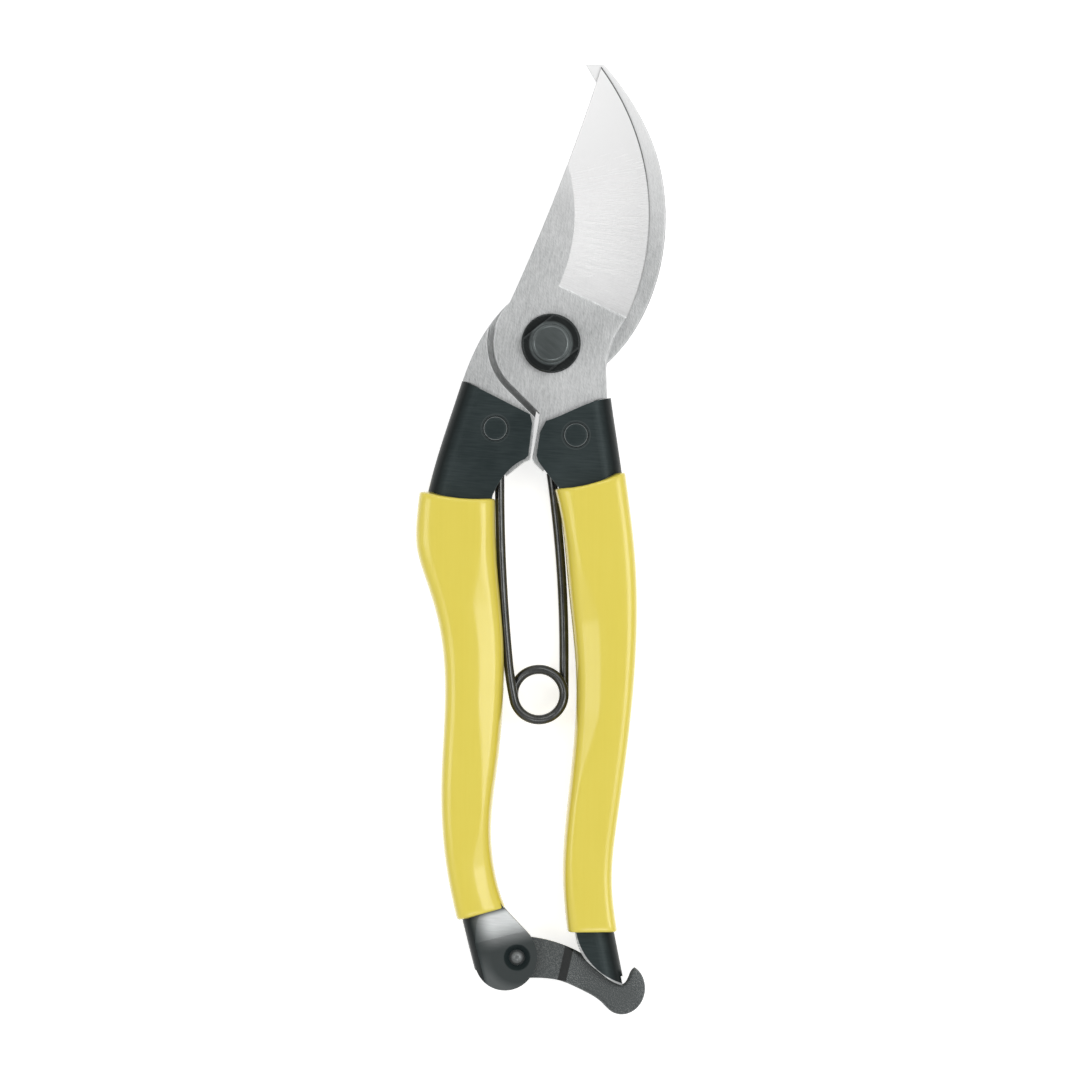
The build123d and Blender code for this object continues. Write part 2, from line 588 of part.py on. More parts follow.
# Rivet of the catch: headed in both dimples
with BuildPart() as catch_rivet:
    with BuildSketch(upright(CATCH_EYE)):
        with BuildLine():
            foot = SHANK_HALF - DIMPLE_DEPTH
            crown = ThreePointArc((0, foot + 1.0), (1.15, foot + 0.69), (1.65, foot))
            Polyline(crown @ 1, (EYE_RADIUS, foot), (EYE_RADIUS, 0), (0, 0), crown @ 0)
        make_face()
        mirror(about=Plane.XZ)
    revolve(axis=spindle(CATCH_EYE))
catch_rivet.part.label = "catch_rivet"
export_step(catch_rivet.part, "parts/catch_rivet.step")


# Two arcs that leave p along u and arrive at q along v, each as start, middle and end
def biarc(p, u, q, v):
    across = q - p
    both = u + v
    spread = 2 * (1 - u.dot(v))
    reach = (-across.dot(both) + sqrt(across.dot(both) ** 2 + spread * across.dot(across))) / spread
    first = p + u * reach
    second = q - v * reach
    joint = (first + second) * 0.5
    return [half_arc(p, first, joint), half_arc(joint, second, q)]


def half_arc(start, corner, end):
    middle = (start + end) * 0.5
    half = (end - start).length / 2
    lean = acos(min(1, half / (corner - start).length))
    return (start, middle + (corner - middle).normalized() * half * tan(lean / 2), end)


# Stations along the coil: the wire eases down from the front leg to the rear leg
def coil_station(share):
    turn = radians(COIL_START + COIL_TURN * share)
    drop = COIL_DROP * (0.5 - (3 * share ** 2 - 2 * share ** 3))
    fall = -COIL_DROP * 6 * share * (1 - share) / radians(COIL_TURN)
    x, y = around(COIL_RADIUS, COIL_START + COIL_TURN * share, COIL_CENTRE)
    place = Vector(PIVOT_X + x, PIVOT_Y + y, LAP_Z + drop)
    way = Vector(-COIL_RADIUS * sin(turn), COIL_RADIUS * cos(turn), fall)
    return place, way.normalized()


# One wire: straight left leg, bend, one and a half turns, bowed right leg
with BuildPart() as spring:
    with BuildLine() as wire:
        start, start_way = coil_station(0)
        lean_in = radians(COIL_START - 180)
        lean_out = radians(LEFT_LEG_LEAN)
        lean_half = (lean_in + lean_out) / 2
        bend_centre = start + Vector(cos(lean_in), sin(lean_in), 0) * LEG_BEND
        bend_top = bend_centre - Vector(cos(lean_out), sin(lean_out), 0) * LEG_BEND
        bend_middle = bend_centre - Vector(cos(lean_half), sin(lean_half), 0) * LEG_BEND
        left_tip = bend_top + Vector(-sin(lean_out), cos(lean_out), 0) * LEFT_LEG_LENGTH
        Line(left_tip, bend_top)
        ThreePointArc(bend_top, bend_middle, start)
        stations = [coil_station(index / 3) for index in range(4)]
        for (p, u), (q, v) in zip(stations, stations[1:]):
            for arc in biarc(p, u, q, v):
                ThreePointArc(*arc)
        end = stations[-1][0]
        sway = radians(RIGHT_LEG_LEAN)
        rise = end + Vector(0, RIGHT_LEG_RISE, 0)
        right_middle = rise + Vector(cos(sway / 2) - 1, sin(sway / 2), 0) * RIGHT_LEG_RADIUS
        right_tip = rise + Vector(cos(sway) - 1, sin(sway), 0) * RIGHT_LEG_RADIUS
        Line(end, rise)
        ThreePointArc(rise, right_middle, right_tip)
    run = wire.wires()[0]
    with BuildSketch(Plane(origin=run @ 0, z_dir=run % 0)):
        Circle(WIRE / 2)
    sweep(path=run)
spring.part.label = "spring"
export_step(spring.part, "parts/spring.step")

# Least gap between the wire and itself, on points along its path
SAMPLES = 600
places = [run @ (index / SAMPLES) for index in range(SAMPLES + 1)]
pitch = run.length / SAMPLES
skip = int(6 * WIRE / pitch)
near = min((places[i] - places[j]).length for i in range(SAMPLES) for j in range(i + skip, SAMPLES + 1))
print("spring least gap to itself", round(near - WIRE, 2), "of wire", WIRE)
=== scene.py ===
import bpy
import json
import numpy as np
from math import cos, pi, radians, sin
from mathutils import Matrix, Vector


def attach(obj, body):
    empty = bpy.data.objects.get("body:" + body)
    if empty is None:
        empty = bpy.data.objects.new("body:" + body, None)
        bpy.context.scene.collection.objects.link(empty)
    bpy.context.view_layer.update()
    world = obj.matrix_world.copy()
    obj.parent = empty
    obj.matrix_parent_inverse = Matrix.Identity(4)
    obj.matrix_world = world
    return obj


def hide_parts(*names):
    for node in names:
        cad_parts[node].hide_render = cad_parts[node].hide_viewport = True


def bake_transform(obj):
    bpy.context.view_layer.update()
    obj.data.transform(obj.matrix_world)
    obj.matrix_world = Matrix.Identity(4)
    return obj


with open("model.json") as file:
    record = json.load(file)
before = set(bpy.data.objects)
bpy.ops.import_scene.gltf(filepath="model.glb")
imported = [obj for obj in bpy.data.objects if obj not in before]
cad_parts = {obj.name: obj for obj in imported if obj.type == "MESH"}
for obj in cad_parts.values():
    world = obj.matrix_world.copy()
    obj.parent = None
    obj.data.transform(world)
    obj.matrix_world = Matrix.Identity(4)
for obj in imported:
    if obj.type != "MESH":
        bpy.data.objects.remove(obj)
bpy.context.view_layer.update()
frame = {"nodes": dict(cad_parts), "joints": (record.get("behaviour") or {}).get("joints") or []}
scene = bpy.context.scene
cadNodes = frame["nodes"]
mm = 0.001
pivot = Vector(next(j["pos_m"] for j in frame["joints"] if j["name"] == "blade_pivot"))
print("frame loaded with", len(cadNodes), "nodes")


# a place measured in mm from the pivot, on the lap between the plates
def fromPivot(x, y, z=0.0):
    return pivot + Vector((x, y, z)) * mm


# sets sockets of a node, by value or by link
def plug(tree, node, sockets):
    for key, value in sockets.items():
        if isinstance(value, bpy.types.NodeSocket):
            tree.links.new(value, node.inputs[key])
        else:
            node.inputs[key].default_value = value


def addNode(tree, kind, sockets=None, **options):
    made = tree.nodes.new(kind)
    for key, value in options.items():
        setattr(made, key, value)
    plug(tree, made, sockets or {})
    return made


def calc(tree, operation, *terms, clamp=False):
    return addNode(tree, "ShaderNodeMath", dict(enumerate(terms)),
                   operation=operation, use_clamp=clamp).outputs[0]


def product(tree, *terms):
    total = terms[0]
    for term in terms[1:]:
        total = calc(tree, "MULTIPLY", total, term)
    return total


# two values added up by their shares
def mixture(tree, first, firstShare, second, secondShare):
    return calc(tree, "ADD", calc(tree, "MULTIPLY", first, firstShare),
                calc(tree, "MULTIPLY", second, secondShare))


def vectorCalc(tree, operation, *terms):
    made = addNode(tree, "ShaderNodeVectorMath", dict(enumerate(terms)), operation=operation)
    return made.outputs["Value" if operation in ("DOT_PRODUCT", "LENGTH") else "Vector"]


def split(tree, vector):
    return addNode(tree, "ShaderNodeSeparateXYZ", {"Vector": vector}).outputs


# distance from a centre, seen from above
def planReach(tree, place, centre=(0.0, 0.0)):
    off = vectorCalc(tree, "SUBTRACT", place, (*centre, 0.0))
    return vectorCalc(tree, "LENGTH", vectorCalc(tree, "MULTIPLY", off, (1, 1, 0)))


def remap(tree, value, low, high, toLow=0.0, toHigh=1.0, soft=False):
    limits = {"Value": value, "From Min": low, "From Max": high, "To Min": toLow, "To Max": toHigh}
    kind = "SMOOTHSTEP" if soft else "LINEAR"
    return addNode(tree, "ShaderNodeMapRange", limits, interpolation_type=kind).outputs["Result"]


def noiseAt(tree, place, scale, detail, roughness=0.5):
    sockets = {"Vector": place, "Scale": scale, "Detail": detail, "Roughness": roughness}
    return addNode(tree, "ShaderNodeTexNoise", sockets).outputs[0]


# the Mix node keeps its colours at sockets 6 and 7, its plain values at 2 and 3
def blendTone(tree, share, first, second):
    sockets = {0: share}
    for key, tone in ((6, first), (7, second)):
        sockets[key] = tone if isinstance(tone, bpy.types.NodeSocket) else (*tone, 1.0)
    return addNode(tree, "ShaderNodeMix", sockets, data_type="RGBA").outputs[2]


def blendValue(tree, share, first, second):
    return addNode(tree, "ShaderNodeMix", {0: share, 2: first, 3: second}, data_type="FLOAT").outputs[0]


def newFinish(name):
    finish = bpy.data.materials.new(name)
    finish.use_nodes = True
    tree = finish.node_tree
    tree.nodes.clear()
    shader = tree.nodes.new("ShaderNodeBsdfPrincipled")
    addNode(tree, "ShaderNodeOutputMaterial", {"Surface": shader.outputs[0]})
    return finish, tree, shader


# camera, floor and light
studio = {
    "centre": (-0.00025, -0.00016), "height": 3.007, "lens": 475.05, "sensor": 36.0,
    "floorHalf": 3.0, "floorLevel": -0.0003, "floorTone": (0.84, 0.84, 0.84), "floorRough": 0.9,
    "floorSpecular": 0.1, "floorLift": 0.66,
    # how far up, and how bright
    "sky": [(0.0, 0.95), (0.08, 0.58), (0.45, 0.68), (0.80, 0.62), (0.95, 0.28), (1.0, 0.21)],
    "lamps": [
        # name, place, level width, slanting height, watts
        ("rightPanel", (0.53, 0.00, 0.96), 0.23, 0.46, 1.0),
        ("leftPanel", (-0.53, 0.00, 0.96), 0.23, 0.46, 0.95),
        ("rightSoftbox", (0.45, 0.14, 0.90), 1.2, 0.46, 1.9),
        ("lowPanel", (0.09, -0.40, 0.95), 0.26, 0.26, 0.9),
        ("highPanel", (-0.05, 0.46, 0.92), 0.26, 0.26, 0.7),
    ],
}


def placeCamera():
    cameraData = bpy.data.cameras.new("shearsCamera")
    cameraData.sensor_width = studio["sensor"]
    cameraData.lens = studio["lens"]
    camera = bpy.data.objects.new("shearsCamera", cameraData)
    # straight down, blade to the top of the frame
    camera.location = (*studio["centre"], studio["height"])
    scene.collection.objects.link(camera)
    scene.camera = camera


def layFloor():
    half, level = studio["floorHalf"], studio["floorLevel"]
    corners = [(x * half, y * half, level) for x, y in ((-1, -1), (1, -1), (1, 1), (-1, 1))]
    mesh = bpy.data.meshes.new("floor")
    mesh.from_pydata(corners, [], [(0, 1, 2, 3)])
    floor = bpy.data.objects.new("floor", mesh)
    scene.collection.objects.link(floor)
    paper, tree, shader = newFinish("paleFloor")
    rays = tree.nodes.new("ShaderNodeLightPath").outputs
    seen = calc(tree, "MAXIMUM", rays["Is Camera Ray"], rays["Is Glossy Ray"])
    seen = calc(tree, "MAXIMUM", seen, rays["Is Transmission Ray"])
    plug(tree, shader, {
        "Base Color": (*studio["floorTone"], 1), "Roughness": studio["floorRough"],
        "Specular IOR Level": studio["floorSpecular"], "Emission Color": (1, 1, 1, 1),
        "Emission Strength": calc(tree, "MULTIPLY", seen, studio["floorLift"])})
    mesh.materials.append(paper)


def hangLamps():
    for name, place, width, length, watts in studio["lamps"]:
        lamp = bpy.data.lights.new(name, "AREA")
        lamp.shape = "RECTANGLE"
        lamp.size = width
        lamp.size_y = length
        lamp.energy = watts
        holder = bpy.data.objects.new(name, lamp)
        holder.location = place
        holder.rotation_euler = Vector(place).to_track_quat("Z", "Y").to_euler()
        scene.collection.objects.link(holder)


def lightRoom():
    world = bpy.data.worlds.new("paleRoom")
    world.use_nodes = True
    scene.world = world
    tree = world.node_tree
    tree.nodes.clear()
    way = tree.nodes.new("ShaderNodeTexCoord")
    ramp = addNode(tree, "ShaderNodeValToRGB", {"Fac": split(tree, way.outputs["Generated"])["Z"]})
    stops = ramp.color_ramp.elements
    while len(stops) < len(studio["sky"]):
        stops.new(0.5)
    for stop, (spot, tone) in zip(stops, studio["sky"]):
        stop.position = spot
        stop.color = (tone, tone, tone, 1)
    sky = addNode(tree, "ShaderNodeBackground", {"Color": ramp.outputs["Color"], "Strength": 1.0})
    addNode(tree, "ShaderNodeOutputWorld", {"Surface": sky.outputs[0]})
    scene.view_settings.view_transform = "Standard"


placeCamera()
layFloor()
hangLamps()
lightRoom()
print("stage: camera, floor,", len(studio["lamps"]), "lamps and a pale room")


# effects that several finishes share
def newEffect(name, inputs, outputs):
    tree = bpy.data.node_groups.new(name, "ShaderNodeTree")
    for title, value in inputs.items():
        kind = "NodeSocketVector" if isinstance(value, tuple) else "NodeSocketFloat"
        tree.interface.new_socket(title, in_out="INPUT", socket_type=kind).default_value = value
    for title, kind in outputs.items():
        tree.interface.new_socket(title, in_out="OUTPUT", socket_type="NodeSocket" + kind)
    return tree, tree.nodes.new("NodeGroupInput").outputs, tree.nodes.new("NodeGroupOutput")


# object coordinates in mm from the pivot
def makePlaceEffect():
    tree, given, put = newEffect("toolPlace", {"Scale": 1000.0}, {"Place": "Vector"})
    spot = tree.nodes.new("ShaderNodeTexCoord").outputs["Object"]
    moved = vectorCalc(tree, "SUBTRACT", spot, tuple(pivot))
    grown = addNode(tree, "ShaderNodeVectorMath", {0: moved, "Scale": given["Scale"]}, operation="SCALE")
    plug(tree, put, {"Place": grown.outputs[0]})
    return tree


# fine scratches that all run one way
def makeGrainEffect():
    tree, given, put = newEffect(
        "brushedGrain", {"Place": (0, 0, 0), "Angle": 0.0, "Fineness": 4.0, "Stretch": 10.0},
        {"Grain": "Float"})
    turned = addNode(tree, "ShaderNodeVectorRotate", {"Vector": given["Place"], "Angle": given["Angle"]},
                     rotation_type="Z_AXIS")
    along = calc(tree, "DIVIDE", given["Fineness"], given["Stretch"])
    rate = addNode(tree, "ShaderNodeCombineXYZ", {"X": along, "Y": given["Fineness"], "Z": along})
    drawn = vectorCalc(tree, "MULTIPLY", turned.outputs[0], rate.outputs[0])
    noise = noiseAt(tree, drawn, scale=1.0, detail=2.5, roughness=0.62)
    plug(tree, put, {"Grain": remap(tree, noise, low=0.28, high=0.72)})
    return tree


# slow uneven tone, such as handling marks
def makeMottleEffect():
    tree, given, put = newEffect("slowMottle", {"Place": (0, 0, 0), "Size": 8.0}, {"Tone": "Float"})
    noise = noiseAt(tree, given["Place"], scale=calc(tree, "DIVIDE", 1.0, given["Size"]), detail=3.0)
    plug(tree, put, {"Tone": remap(tree, noise, low=0.3, high=0.7)})
    return tree


# rounded normal at sharp edges, and where those edges are
def makeEdgeEffect():
    tree, given, put = newEffect("softEdge", {"Radius": 0.0003, "Gain": 4.0},
                                 {"Normal": "Vector", "Edge": "Float"})
    rounded = addNode(tree, "ShaderNodeBevel", {"Radius": given["Radius"]}, samples=6).outputs[0]
    flat = tree.nodes.new("ShaderNodeNewGeometry").outputs["Normal"]
    off = calc(tree, "SUBTRACT", 1.0, vectorCalc(tree, "DOT_PRODUCT", rounded, flat))
    plug(tree, put, {"Normal": rounded, "Edge": calc(tree, "MULTIPLY", off, given["Gain"], clamp=True)})
    return tree


# small hard grains, as on cast or blasted metal
def makeSandEffect():
    tree, given, put = newEffect("sandGrain", {"Place": (0, 0, 0), "Fineness": 3.0},
                                 {"Speck": "Float", "Height": "Float"})
    noise = noiseAt(tree, given["Place"], scale=given["Fineness"], detail=2.0, roughness=0.7)
    plug(tree, put, {"Speck": remap(tree, noise, low=0.48, high=0.62), "Height": noise})
    return tree


placeEffect = makePlaceEffect()
grainEffect = makeGrainEffect()
mottleEffect = makeMottleEffect()
edgeEffect = makeEdgeEffect()
sandEffect = makeSandEffect()


def useEffect(tree, effect, **sockets):
    return addNode(tree, "ShaderNodeGroup", sockets, node_tree=effect).outputs


def bumped(tree, height, normal, deep, strength):
    sockets = {"Height": height, "Normal": normal, "Distance": deep, "Strength": strength}
    return addNode(tree, "ShaderNodeBump", sockets).outputs[0]


# steel of the two plates; in every look, runs and reaches are in mm from the pivot
plateLook = {
    "light": (0.84, 0.85, 0.85), "dark": (0.25, 0.26, 0.26), "edgeTone": (0.84, 0.85, 0.85),
    "grain": {"Angle": radians(97), "Fineness": 5.0, "Stretch": 10.0}, "grainShare": 0.55,
    "cross": {"Angle": radians(55), "Fineness": 4.6, "Stretch": 4.0}, "crossShare": 0.45,
    "hatchShare": 0.75, "mottleSize": 14.0, "mottleShare": 0.25,
    "edge": {"Radius": 0.00028, "Gain": 5.0}, "rough": (0.46, 0.34), "bump": (0.000012, 0.5),
    "metallic": 0.7, "tipTone": (0.95, 0.95, 0.95), "tipMetallic": 0.25, "tipRun": (18.0, 62.0),
    "groove": (0.22, 0.23, 0.23), "grooveLevel": (0.5, 0.1), "grooveSide": (4.0, 1.0),
    "grooveRun": (0.0, -14.0), "grooveShare": 0.9,
}
bevelLook = {
    "centre": (-31.2, 27.3), "radius": 52.0, "width": 15.8, "heelAngle": -24.7,
    "startFade": 0.05, "heelFade": 0.08, "level": (0.06, 0.12),
    "light": (0.62, 0.62, 0.62), "dark": (0.54, 0.545, 0.545), "metallic": 0.15,
    "rough": (0.34, 0.26), "bumpShare": 0.2,
    "markOut": 0.16, "markRound": 2.3, "markFrom": 20.0, "markLeast": 0.15,
    "tip": (0.90, 0.90, 0.90), "tipTurn": (-5.0, 42.0),
    "line": (0.10, 0.105, 0.105), "lineWidth": 0.22, "lineFade": 0.06,
    "lineTurn": (-18.0, 14.0), "lineLeast": 0.25,
}


# hollow-ground bevel: polished, with marks that run across it from the edge; its pale, little-metallic
# tone is partly painted reflection
def grindBevel(tree, place, tone, metal, rough, height):
    look = bevelLook
    at = split(tree, vectorCalc(tree, "SUBTRACT", place, (*look["centre"], 0.0)))
    reach = planReach(tree, place, look["centre"])
    turn = calc(tree, "MULTIPLY", calc(tree, "ARCTAN2", at["Y"], at["X"]), 180 / pi)
    start, heel = look["radius"] - look["width"], look["heelAngle"]
    wide = remap(tree, reach, start - look["startFade"], start + look["startFade"])
    above = remap(tree, turn, heel - look["heelFade"], heel + look["heelFade"])
    bevel = product(tree, wide, above, remap(tree, at["Z"], *look["level"]))

    ring = addNode(tree, "ShaderNodeCombineXYZ", {
        "X": calc(tree, "MULTIPLY", reach, look["markOut"]),
        "Y": calc(tree, "MULTIPLY", turn, look["markRound"])}).outputs[0]
    marks = remap(tree, noiseAt(tree, ring, scale=1.0, detail=4.0, roughness=0.7), low=0.3, high=0.62)
    toHeel = remap(tree, turn, look["markFrom"], heel, look["markLeast"], 1.0)
    marked = calc(tree, "MULTIPLY", calc(tree, "SUBTRACT", 1.0, marks), toHeel)
    quiet = calc(tree, "SUBTRACT", 1.0, marked)
    shine = blendTone(tree, quiet, look["dark"], look["light"])
    # painted reflection: the bevel grows paler towards the tip
    shine = blendTone(tree, remap(tree, turn, *look["tipTurn"]), shine, look["tip"])

    # painted shade: a dark line along the cutting edge
    inner = look["radius"] - look["lineWidth"]
    edgeShadeLine = product(tree, remap(tree, reach, inner - look["lineFade"], inner), above,
                  remap(tree, turn, *look["lineTurn"], look["lineLeast"], 1.0))
    shine = blendTone(tree, edgeShadeLine, shine, look["line"])
    polished = remap(tree, quiet, 0.0, 1.0, *look["rough"])
    return (blendTone(tree, bevel, tone, shine), blendValue(tree, bevel, metal, look["metallic"]),
            blendValue(tree, bevel, rough, polished),
            blendValue(tree, bevel, height, calc(tree, "MULTIPLY", quiet, look["bumpShare"])))


def makePlateSteel(name, ground):
    look = plateLook
    finish, tree, shader = newFinish(name)
    place = useEffect(tree, placeEffect)["Place"]
    at = split(tree, place)
    grain = useEffect(tree, grainEffect, Place=place, **look["grain"])["Grain"]
    cross = useEffect(tree, grainEffect, Place=place, **look["cross"])["Grain"]
    slow = useEffect(tree, mottleEffect, Place=place, Size=look["mottleSize"])["Tone"]
    edge = useEffect(tree, edgeEffect, **look["edge"])
    hatch = mixture(tree, grain, look["grainShare"], cross, look["crossShare"])
    uneven = mixture(tree, hatch, look["hatchShare"], slow, look["mottleShare"])
    tone = blendTone(tree, uneven, look["dark"], look["light"])
    # painted highlight: sharp edges of the steel take the pale tone
    tone = blendTone(tree, edge["Edge"], tone, look["edgeTone"])
    rough, height = remap(tree, hatch, 0.0, 1.0, *look["rough"]), hatch
    # painted reflection: both plates are paler and less metallic towards the tip
    tone = blendTone(tree, remap(tree, at["Y"], *look["tipRun"]), tone, look["tipTone"])
    metal = remap(tree, at["Y"], *look["tipRun"], look["metallic"], look["tipMetallic"])
    if ground:
        tone, metal, rough, height = grindBevel(tree, place, tone, metal, rough, height)
    else:
        # painted shade in the groove beside the other plate
        low = product(tree, remap(tree, at["Z"], *look["grooveLevel"]),
                      remap(tree, at["X"], *look["grooveSide"]),
                      remap(tree, at["Y"], *look["grooveRun"], 0.0, look["grooveShare"]))
        tone = blendTone(tree, low, tone, look["groove"])
    plug(tree, shader, {"Base Color": tone, "Roughness": rough, "Metallic": metal,
                        "Normal": bumped(tree, height, edge["Normal"], *look["bump"])})
    return finish


# dark coatings: pressed handles, pivot, rivets
coatLook = {
    "slateSheet": {
        "base": (0.019, 0.028, 0.029), "worn": (0.041, 0.054, 0.055), "edgeTone": (0.27, 0.29, 0.29),
        "rough": (0.28, 0.42), "angle": 4, "gain": 2.4, "edgeRadius": 0.0002, "metallic": 0.2,
        "specular": 0.13, "side": (0.010, 0.014, 0.014), "sideFacing": (0.97, 0.75)},
    "ringedSlate": {
        "base": (0.018, 0.027, 0.028), "worn": (0.036, 0.048, 0.049), "edgeTone": (0.20, 0.22, 0.22),
        "rough": (0.28, 0.42), "angle": 4, "gain": 2.4, "edgeRadius": 0.0003, "metallic": 0.2,
        "specular": 0.13, "ring": (0.15, 0.165, 0.165), "ringFrom": (0.86, 0.89),
        "ringWorn": (0.1, 0.7, 0.45, 1.0), "rim": (0.008, 0.011, 0.011), "rimFrom": (0.93, 0.96)},
    "blackPivot": {
        "base": (0.016, 0.019, 0.019), "worn": (0.032, 0.037, 0.037), "edgeTone": (0.14, 0.15, 0.15),
        "rough": (0.18, 0.28), "angle": 40, "gain": 2.2, "edgeRadius": 0.0003, "metallic": 0.6,
        "specular": 0.5, "button": ((0.090, 0.104, 0.104), (0.140, 0.158, 0.158)),
        "buttonReach": (4.75, 4.45), "buttonLevel": (4.0, 4.3)},
    "wornRivet": {
        "base": (0.10, 0.11, 0.11), "worn": (0.20, 0.21, 0.21), "edgeTone": (0.30, 0.31, 0.31),
        "rough": (0.22, 0.32), "angle": 40, "gain": 2.2, "edgeRadius": 0.0002, "metallic": 0.6,
        "specular": 0.5},
    "grain": {"Fineness": 3.2, "Stretch": 14.0}, "mottleSize": 9.0, "edgeWearAndSheen": (0.1, 0.8, 0.55, 1.0),
    "bump": (0.000006, 0.5),
}
upperRivets = {"left": (-11.7, -17.9), "right": (5.25, -19.3)}
pressLook = {"tone": (0.060, 0.070, 0.070), "radius": 3.0, "band": (0.13, 0.04),
             "worn": (0.2, 0.7, 0.3, 1.0)}
lobeLook = {
    "start": (-14.0, -120.0), "downWay": (0.242, -0.970, 0.0), "overWay": (0.970, 0.242, 0.0),
    "coat": (0.050, 0.058, 0.058), "coatDown": (-1.0, 1.0), "coatOver": (-3.5, -2.7),
    "end": (14.0, 12.0),
    "eye": (-7.16, -129.14), "eyeReach": (2.95, 2.6),
    "lip": (0.11, 0.12, 0.12), "lipReach": (5.2, 6.9), "lipDown": (8.0, 13.0),
    "slopeSheen": (0.52, 0.535, 0.535), "sheenMetallic": 0.85, "sheenStart": (-0.5, 0.8), "sheenEnd": (8.5, 2.2),
    "sheenOver": (-3.4, 1.4), "sheenLeast": 0.8,
}
footLook = {"rim": (0.60, 0.61, 0.61), "centre": (19.0, -121.2), "radius": 14.35, "band": (0.44, 0.3),
            "worn": (0.1, 0.8, 0.5, 1.0), "below": (-121.0, -122.5), "rightOf": (3.0, 4.0)}


# painted shade: the coat is darker where the sheet turns sideways round its folds
def shadeFoldSides(tree, look, wornSheenEdge, tone):
    normal = tree.nodes.new("ShaderNodeNewGeometry").outputs["Normal"]
    facing = calc(tree, "ABSOLUTE", split(tree, normal)["Z"])
    shadedSide = product(tree, remap(tree, facing, *look["sideFacing"]),
                     calc(tree, "SUBTRACT", 1.0, wornSheenEdge, clamp=True))
    return blendTone(tree, shadedSide, tone, look["side"])


# faint mark pressed round each upper rivet
def pressRings(tree, place, slow, tone):
    look = pressLook
    for centre in upperRivets.values():
        off = calc(tree, "SUBTRACT", planReach(tree, place, centre), look["radius"])
        mark = product(tree, remap(tree, calc(tree, "ABSOLUTE", off), *look["band"]),
                       remap(tree, slow, *look["worn"]))
        tone = blendTone(tree, mark, tone, look["tone"])
    return tone


# lobe of the left handle: a lighter coat tone, painted shade in the dimple round the catch's rivet, and
# a pale, more metallic patch on its pressed slope, painted sheen added to the lamp's real reflection
def lobeShadeAndSheen(tree, place, fine, tone, sheet):
    look = lobeLook
    away = vectorCalc(tree, "SUBTRACT", place, (*look["start"], 0.0))
    down = vectorCalc(tree, "DOT_PRODUCT", away, look["downWay"])
    over = vectorCalc(tree, "DOT_PRODUCT", away, look["overWay"])
    onLeft = remap(tree, over, *look["end"])
    lobe = product(tree, remap(tree, down, *look["coatDown"]), onLeft,
                   remap(tree, over, *look["coatOver"]))
    tone = blendTone(tree, lobe, tone, look["coat"])
    # painted shade: the dimple round the catch's rivet keeps the darker sheet tone
    fromEye = planReach(tree, place, look["eye"])
    tone = blendTone(tree, remap(tree, fromEye, *look["eyeReach"]), tone, sheet["base"])
    # lighter towards the lobe's lower rim
    lip = product(tree, remap(tree, fromEye, *look["lipReach"]), remap(tree, down, *look["lipDown"]),
                  lobe)
    tone = blendTone(tree, lip, tone, look["lip"])
    # painted sheen on the pressed slope, where the lamp's real reflection also falls
    slopeSheen = product(tree, remap(tree, down, *look["sheenStart"]),
                  remap(tree, down, *look["sheenEnd"], soft=True), onLeft,
                  remap(tree, over, *look["sheenOver"], soft=True),
                  remap(tree, fine, 0.0, 1.0, look["sheenLeast"], 1.0))
    metal = remap(tree, slopeSheen, 0.0, 1.0, sheet["metallic"], look["sheenMetallic"])
    return blendTone(tree, slopeSheen, tone, look["slopeSheen"]), metal


# pale rim along the curved cut of the right handle's foot: painted highlight, partly bare metal at the
# cut
def paleFootRim(tree, place, fine, tone):
    look = footLook
    at = split(tree, place)
    inside = calc(tree, "SUBTRACT", look["radius"], planReach(tree, place, look["centre"]))
    rimSheen = product(tree, remap(tree, inside, *look["band"]), remap(tree, fine, *look["worn"]),
                   remap(tree, at["Y"], *look["below"]), remap(tree, at["X"], *look["rightOf"]))
    return blendTone(tree, rimSheen, tone, look["rim"])


def makeCoat(name):
    look = coatLook[name]
    finish, tree, shader = newFinish(name)
    place = useEffect(tree, placeEffect)["Place"]
    fine = useEffect(tree, grainEffect, Place=place, Angle=radians(look["angle"]),
                     **coatLook["grain"])["Grain"]
    slow = useEffect(tree, mottleEffect, Place=place, Size=coatLook["mottleSize"])["Tone"]
    edge = useEffect(tree, edgeEffect, Radius=look["edgeRadius"], Gain=look["gain"])
    uneven = calc(tree, "MULTIPLY", calc(tree, "ADD", fine, slow), 0.5)
    tone = blendTone(tree, uneven, look["base"], look["worn"])
    # paler edges: wear, and partly painted highlight
    wornSheenEdge = product(tree, edge["Edge"], remap(tree, fine, *coatLook["edgeWearAndSheen"]))
    tone = blendTone(tree, wornSheenEdge, tone, look["edgeTone"])
    metal = look["metallic"]
    if "side" in look:
        tone = shadeFoldSides(tree, look, wornSheenEdge, tone)
        tone = pressRings(tree, place, slow, tone)
        tone, metal = lobeShadeAndSheen(tree, place, fine, tone, look)
        tone = paleFootRim(tree, place, fine, tone)
    if "ring" in look:
        # bare metal where the head was set flush
        far = addNode(tree, "ShaderNodeAttribute", attribute_name="fromAxis").outputs["Fac"]
        ring = product(tree, remap(tree, far, *look["ringFrom"]), remap(tree, fine, *look["ringWorn"]))
        tone = blendTone(tree, ring, tone, look["ring"])
        tone = blendTone(tree, remap(tree, far, *look["rimFrom"]), tone, look["rim"])
    if "button" in look:
        # the pivot's raised centre is lighter: worn, and partly painted sheen
        centre = product(tree, remap(tree, planReach(tree, place), *look["buttonReach"]),
                         remap(tree, split(tree, place)["Z"], *look["buttonLevel"]))
        tone = blendTone(tree, centre, tone, blendTone(tree, uneven, *look["button"]))
    plug(tree, shader, {
        "Base Color": tone, "Roughness": remap(tree, uneven, 0.0, 1.0, *look["rough"]),
        "Metallic": metal, "Specular IOR Level": look["specular"],
        "Normal": bumped(tree, fine, edge["Normal"], *coatLook["bump"])})
    return finish


